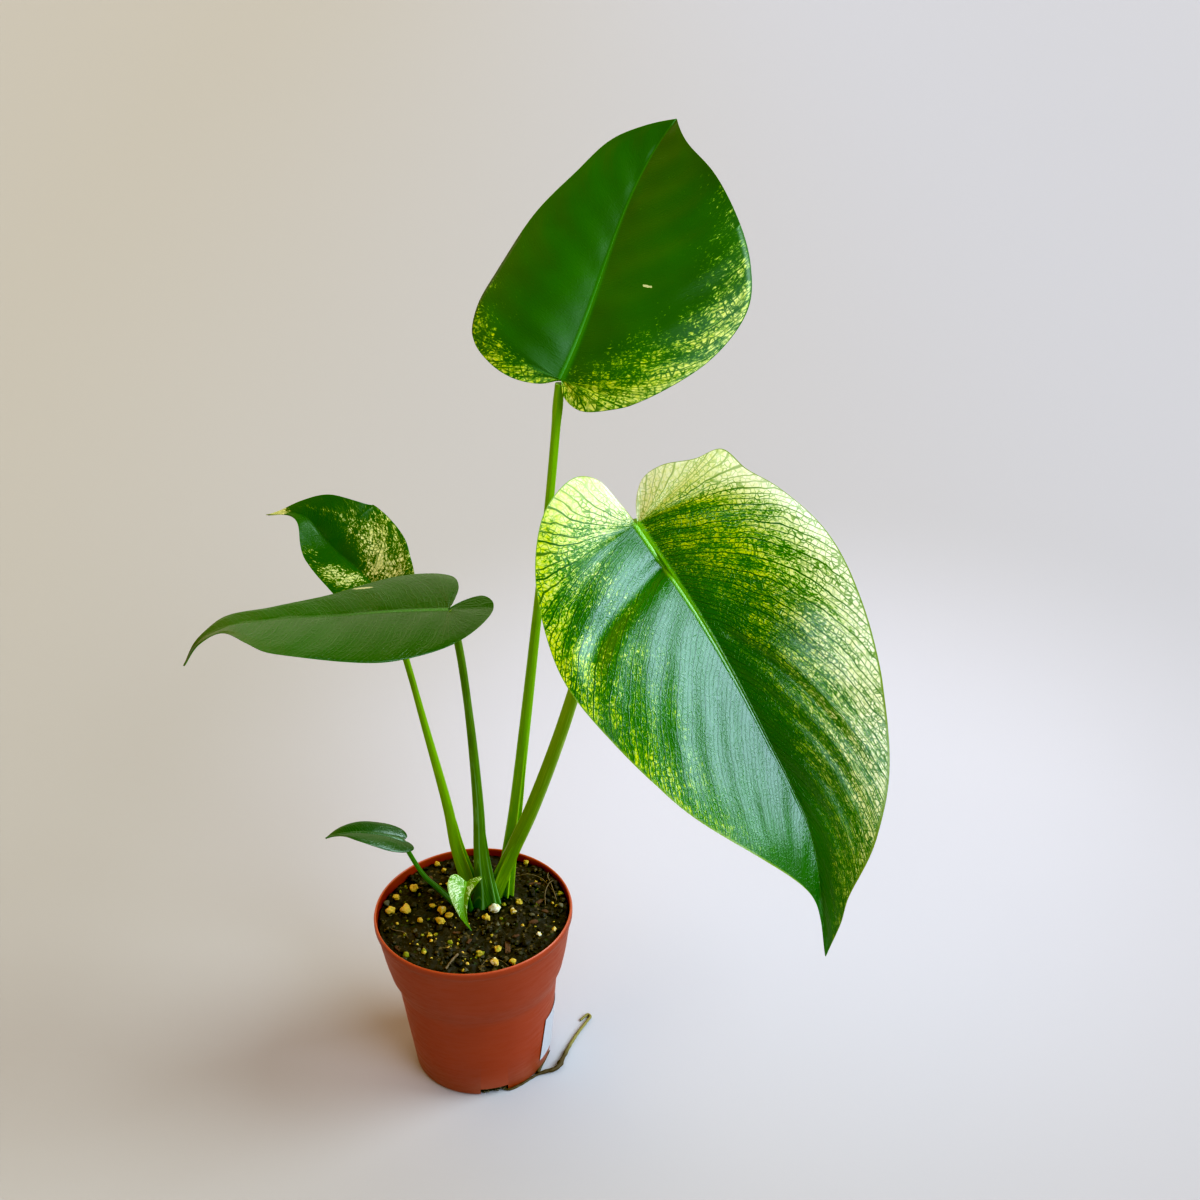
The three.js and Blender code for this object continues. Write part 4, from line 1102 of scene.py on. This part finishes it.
# A small blotched leaf at the back, with a long drip tip.
add_blade(
    "back", fold=(40, 10), tip_fold=(30, 10), half_width=35, rib=1, grid=(36, 80, 28), vein_spacing=6,
    vein_width=0.14, fleck=(0.75, 0.5), specular=0.25, rib_fade=0.9, white=(0.8, 0.8, 0.42),
    rib_colour=(0.03, 0.16, 0.004), net=0.5, dark=(0.018, 0.085, 0.002), green=(0.035, 0.15, 0.004),
    light=(0.15, 0.24, 0.01),
    midrib=[
        (-39, 60, 254.5), (-53, 71.5, 263.5), (-68, 81.5, 273.5), (-82.5, 89.5, 288), (-102, 94.5, 286.5),
    ],
    facing=[(-0.2, -0.7, 0.7), (-0.2, -0.5, 0.8)],
    margin=[[
        (0, 0), (-9, 5), (-12, 13), (-2, 20), (19, 20), (40, 17), (50, 13), (62, 6), (71, 2), (82, 0),
    ], [
        (0, 0), (-8, 7), (-8, 15), (-2, 20), (5, 24), (15, 29), (33, 32), (45, 30), (58, 19), (65, 8),
        (72, 3), (82, 0),
    ]],
    cream=[[
        (-1, 0.5, 0.5, 0.5, 0.5, 0.5), (0, 0.5, 0.5, 0.5, 0.36, 0.25), (0.1, 0.4, 0.46, 0.5, 0.3, 0.2),
        (0.2, 0.45, 0.58, 0.6, 0.48, 0.28), (0.3, 0.1, 0.36, 0.48, 0.48, 0.32),
        (0.4, 0, 0.1, 0.2, 0.3, 0.3), (0.5, 0, 0, 0, 0.42, 0.22), (0.6, 0, 0, 0, 0.12, 0.12),
        (0.82, 0, 0, 0, 0, 0), (0.87, 1, 1, 1, 1, 1),
    ], [
        (-1, 0.55, 0.55, 0.55, 0.55, 0.5), (0, 0.45, 0.54, 0.54, 0.48, 0.36),
        (0.1, 0.45, 0.54, 0.54, 0.48, 0.36), (0.2, 0.4, 0.58, 0.58, 0.5, 0.36),
        (0.3, 0.1, 0.3, 0.55, 0.45, 0.28), (0.4, 0, 0.1, 0.42, 0.44, 0.24), (0.5, 0, 0, 0.22, 0.42, 0.1),
        (0.6, 0, 0, 0.05, 0.4, 0), (0.7, 0, 0, 0.1, 0.35, 0), (0.8, 0, 0, 0, 0, 0), (0.87, 1, 1, 1, 1, 1),
    ]],
    tone=[[(-1, 0.8, 0.8, 0.6), (0.3, 0.7, 0.7, 0.5), (1, 0.6, 0.6, 0.6)]] * 2,
)
# A plain dark leaf that lies almost level, its tip curling down.
add_blade(
    "level", slot="blade_green", fold=(2, 12), tip_fold=(6, 14), curl=(20, 25), half_width=45, rib=1.2,
    grid=(50, 120, 36), vein_spacing=8, quilt=0.15, vein_tint=0.08, dark=(0.019, 0.083, 0.006),
    green=(0.034, 0.125, 0.01), rib_colour=(0.07, 0.22, 0.03), rib_fade=0.9, specular=0.6, rib_rise=0.14,
    dry_tip=0.7,
    midrib=[
        (-3, 20, 268), (-30, 17, 269.5), (-57, 12.5, 270.5), (-85, 7.5, 272.5), (-111.5, 2.5, 271),
        (-122.5, 0, 265.5), (-131, -2, 253.5),
    ],
    facing=[(0, -0.12, 1)] * 2,
    margin=[[
        (0, 0), (-6, -4.8), (-13, -8.3), (-18, -9), (-22, -5), (-22, 1), (-16, 12), (-5, 23), (10, 31),
        (33, 36), (58, 33), (89, 25), (99, 16), (110, 4), (122, 2.5), (138, 0),
    ], [
        (0, 0), (-3, 6), (-6, 17), (-4, 25), (3, 28.5), (20, 28), (41, 21), (61, 14), (85, 8.5), (107, 7),
        (118, 3), (138, 0),
    ]],
    scars=[(40, 18.5, 5, 0.8)],
)
# Two leaves no longer than a thumb, from when the plant was young.
add_blade(
    "low", slot="blade_green", half_width=14, rib=0.9, grid=(24, 60, 20), vein_spacing=4, quilt=0.1,
    dark=(0.014, 0.07, 0.008), green=(0.024, 0.1, 0.012), rib_colour=(0.03, 0.13, 0.02), specular=0.8,
    midrib=[(-35.7, 16, 131.5), (-46, 13.8, 138), (-60, 11, 144.5), (-74.9, 8, 140.4)],
    facing=[(0, -0.25, 0.97)] * 2,
    margin=[[
        (0, 0), (-5, 1), (-6, 4), (-1, 8), (8, 10), (17, 9), (26, 6), (33, 2), (42, 0),
    ], [
        (0, 0), (-2, 3), (0, 6), (6, 7.5), (14, 7.5), (24, 6.8), (34, 4), (42, 0),
    ]],
)
add_blade(
    "tiny", fold=(60, 10), tip_fold=(30, 10), half_width=12, rib=0.8, grid=(24, 50, 20), vein_spacing=3.5,
    vein_width=0.12, quilt=0.15, net=0.8, fleck=(0.8, 0.4), dark=(0.09, 0.22, 0.01),
    green=(0.15, 0.32, 0.012), light=(0.2, 0.4, 0.05), specular=0.3, yellow=(0.5, 0.6, 0.2),
    white=(0.62, 0.74, 0.45), rib_colour=(0.2, 0.42, 0.06), edge_colour=(0.18, 0.4, 0.03),
    midrib=[(-2.3, -4, 118.5), (-3.8, -12.6, 115.6), (-5.1, -16.7, 105.2), (0.4, -19, 98.4)],
    facing=[(0.2, -0.9, 0.3)] * 2,
    margin=[[
        (0, 0), (-2, 5), (-2, 9), (2, 7), (6, 4.2), (12, 2.6), (20, 1.2), (27, 0),
    ], [
        (0, 0), (-1, 3), (-2, 6), (0, 9), (4, 9.5), (9, 7), (14, 4.5), (21, 1.5), (27, 0),
    ]],
    cream=[[
        (-1, 0.2, 0.4, 0.5), (0.5, 0.2, 0.4, 0.5), (0.75, 0, 0, 0),
    ], [
        (-1, 0.5, 0.7, 0.6), (0.3, 0.3, 0.5, 0.75), (0.6, 0.1, 0.2, 0.6), (0.8, 0, 0, 0),
    ]],
    tone=[[(-1, 1, 1, 0.8), (1, 0.8, 0.8, 0.6)]] * 2,
)


# Floor and light
# A wide off-white floor with painted light in its colour: a painted pool of light round a spot to the
# right of and behind the pot, painted warm shade to the left, and dimmer paper further off. Large cool
# window lights come from the right and the front, a warm weak light from the left, and a plain sky.
# The leaves' gloss meets a second floor just below the first, which gets darker well in front of the
# pot, and a sky that is bright only behind the plant.
floor_size = 16
lower_floor = -1 * MM
lit_spot = (0.2, 0.22, 0)
sky_bright_way = (0, 0.94, 0.34)
sky_dim, sky_bright, sky_shown = (0.14, 0.105, 0.07), (1.1, 0.98, 0.86), (0.62, 0.6, 0.57)


def lay_floor(name, height, material):
    """A wide plane."""
    bpy.ops.mesh.primitive_plane_add(size=floor_size, location=(0, 0, height))
    plane = bpy.context.object
    plane.name = name
    plane.data.materials.append(material)
    return plane


ground = Finish("floor_paper", Roughness=0.9)
where = ground.place()
sideways = ground.split(where, "X")
clean = ground.mix(ground.noise(where, 3, 3), (0.49, 0.49, 0.51), (0.52, 0.52, 0.54))
# Painted warm shade: the floor is darker and warmer to the left.
near = ground.mix(ground.ramp(sideways, -0.35, 0.05), (0.45, 0.425, 0.405), clean)
# Painted dimness away from the lit spot: warmer on the left, cooler on the right.
painted_dim_floor = ground.mix(ground.ramp(sideways, -0.7, 0.7), (0.375, 0.348, 0.29), (0.415, 0.415, 0.425))
from_spot = ground.add("VectorMath", {0: where, 1: lit_spot}, out="Value", operation="DISTANCE")
# Painted pool of light: the floor is palest near the lit spot.
floor = lay_floor("Floor", 0, ground.done(
    Base_Color=ground.mix(ground.ramp(from_spot, 0.1, 0.48), near, painted_dim_floor),
))
for kind_of_ray in ("diffuse", "glossy", "transmission", "shadow"):
    setattr(floor, "visible_" + kind_of_ray, False)
dusk = Finish("floor_in_gloss", Roughness=0.9)
beyond = dusk.ramp(dusk.split(dusk.place(), "Y"), -0.4, -1.1)
floor_in_gloss = lay_floor("Floor_in_gloss", lower_floor, dusk.done(
    Base_Color=dusk.mix(beyond, (0.45, 0.43, 0.42), (0.1, 0.09, 0.08)),
))
floor_in_gloss.visible_camera = False


def soft_sun(name, azimuth, elevation, spread, strength, colour):
    """Even light from a wide bright patch of sky. Azimuth 0 is the front and 90 the right."""
    bpy.ops.object.light_add(type="SUN")
    lamp = bpy.context.object
    lamp.name = name
    lamp.data.angle = math.radians(spread)
    lamp.data.energy = strength
    lamp.data.color = colour
    lamp.rotation_euler = (math.radians(90 - elevation), 0, math.radians(azimuth))


soft_sun("Side_window", 92, 38, 36, 2.7, (0.74, 0.89, 1.0))
soft_sun("Front_window", 48, 29, 37, 1.85, (0.61, 0.74, 1.0))
soft_sun("Front_window_top", 28, 53, 24, 0.35, (0.64, 0.82, 1.0))
soft_sun("Far_window", -11, 8, 22, 0.42, (0.7, 0.86, 1.0))
soft_sun("Room_glow", -98, 35, 95, 1.25, (1.0, 0.63, 0.36))

sky = Finish("Sky", "worlds", "Background")
view = sky.add("TexCoord", {}, out="Generated")
toward = sky.add("VectorMath", {0: view, 1: sky_bright_way}, out="Value", operation="DOT_PRODUCT")
mirrored = sky.mix(sky.ramp(toward, 0.55, 0.95), sky_dim, sky_bright)
shown_at_once = sky.add("LightPath", {}, out="Is Camera Ray")
scene = bpy.context.scene
scene.world = sky.done(Color=sky.mix(shown_at_once, mirrored, sky_shown))
scene.view_settings.view_transform = "Standard"
scene.view_settings.look = "High Contrast"
scene.view_settings.use_curve_mapping = True
scene.view_settings.curve_mapping.black_level = (0.012, 0.01, 0.022)
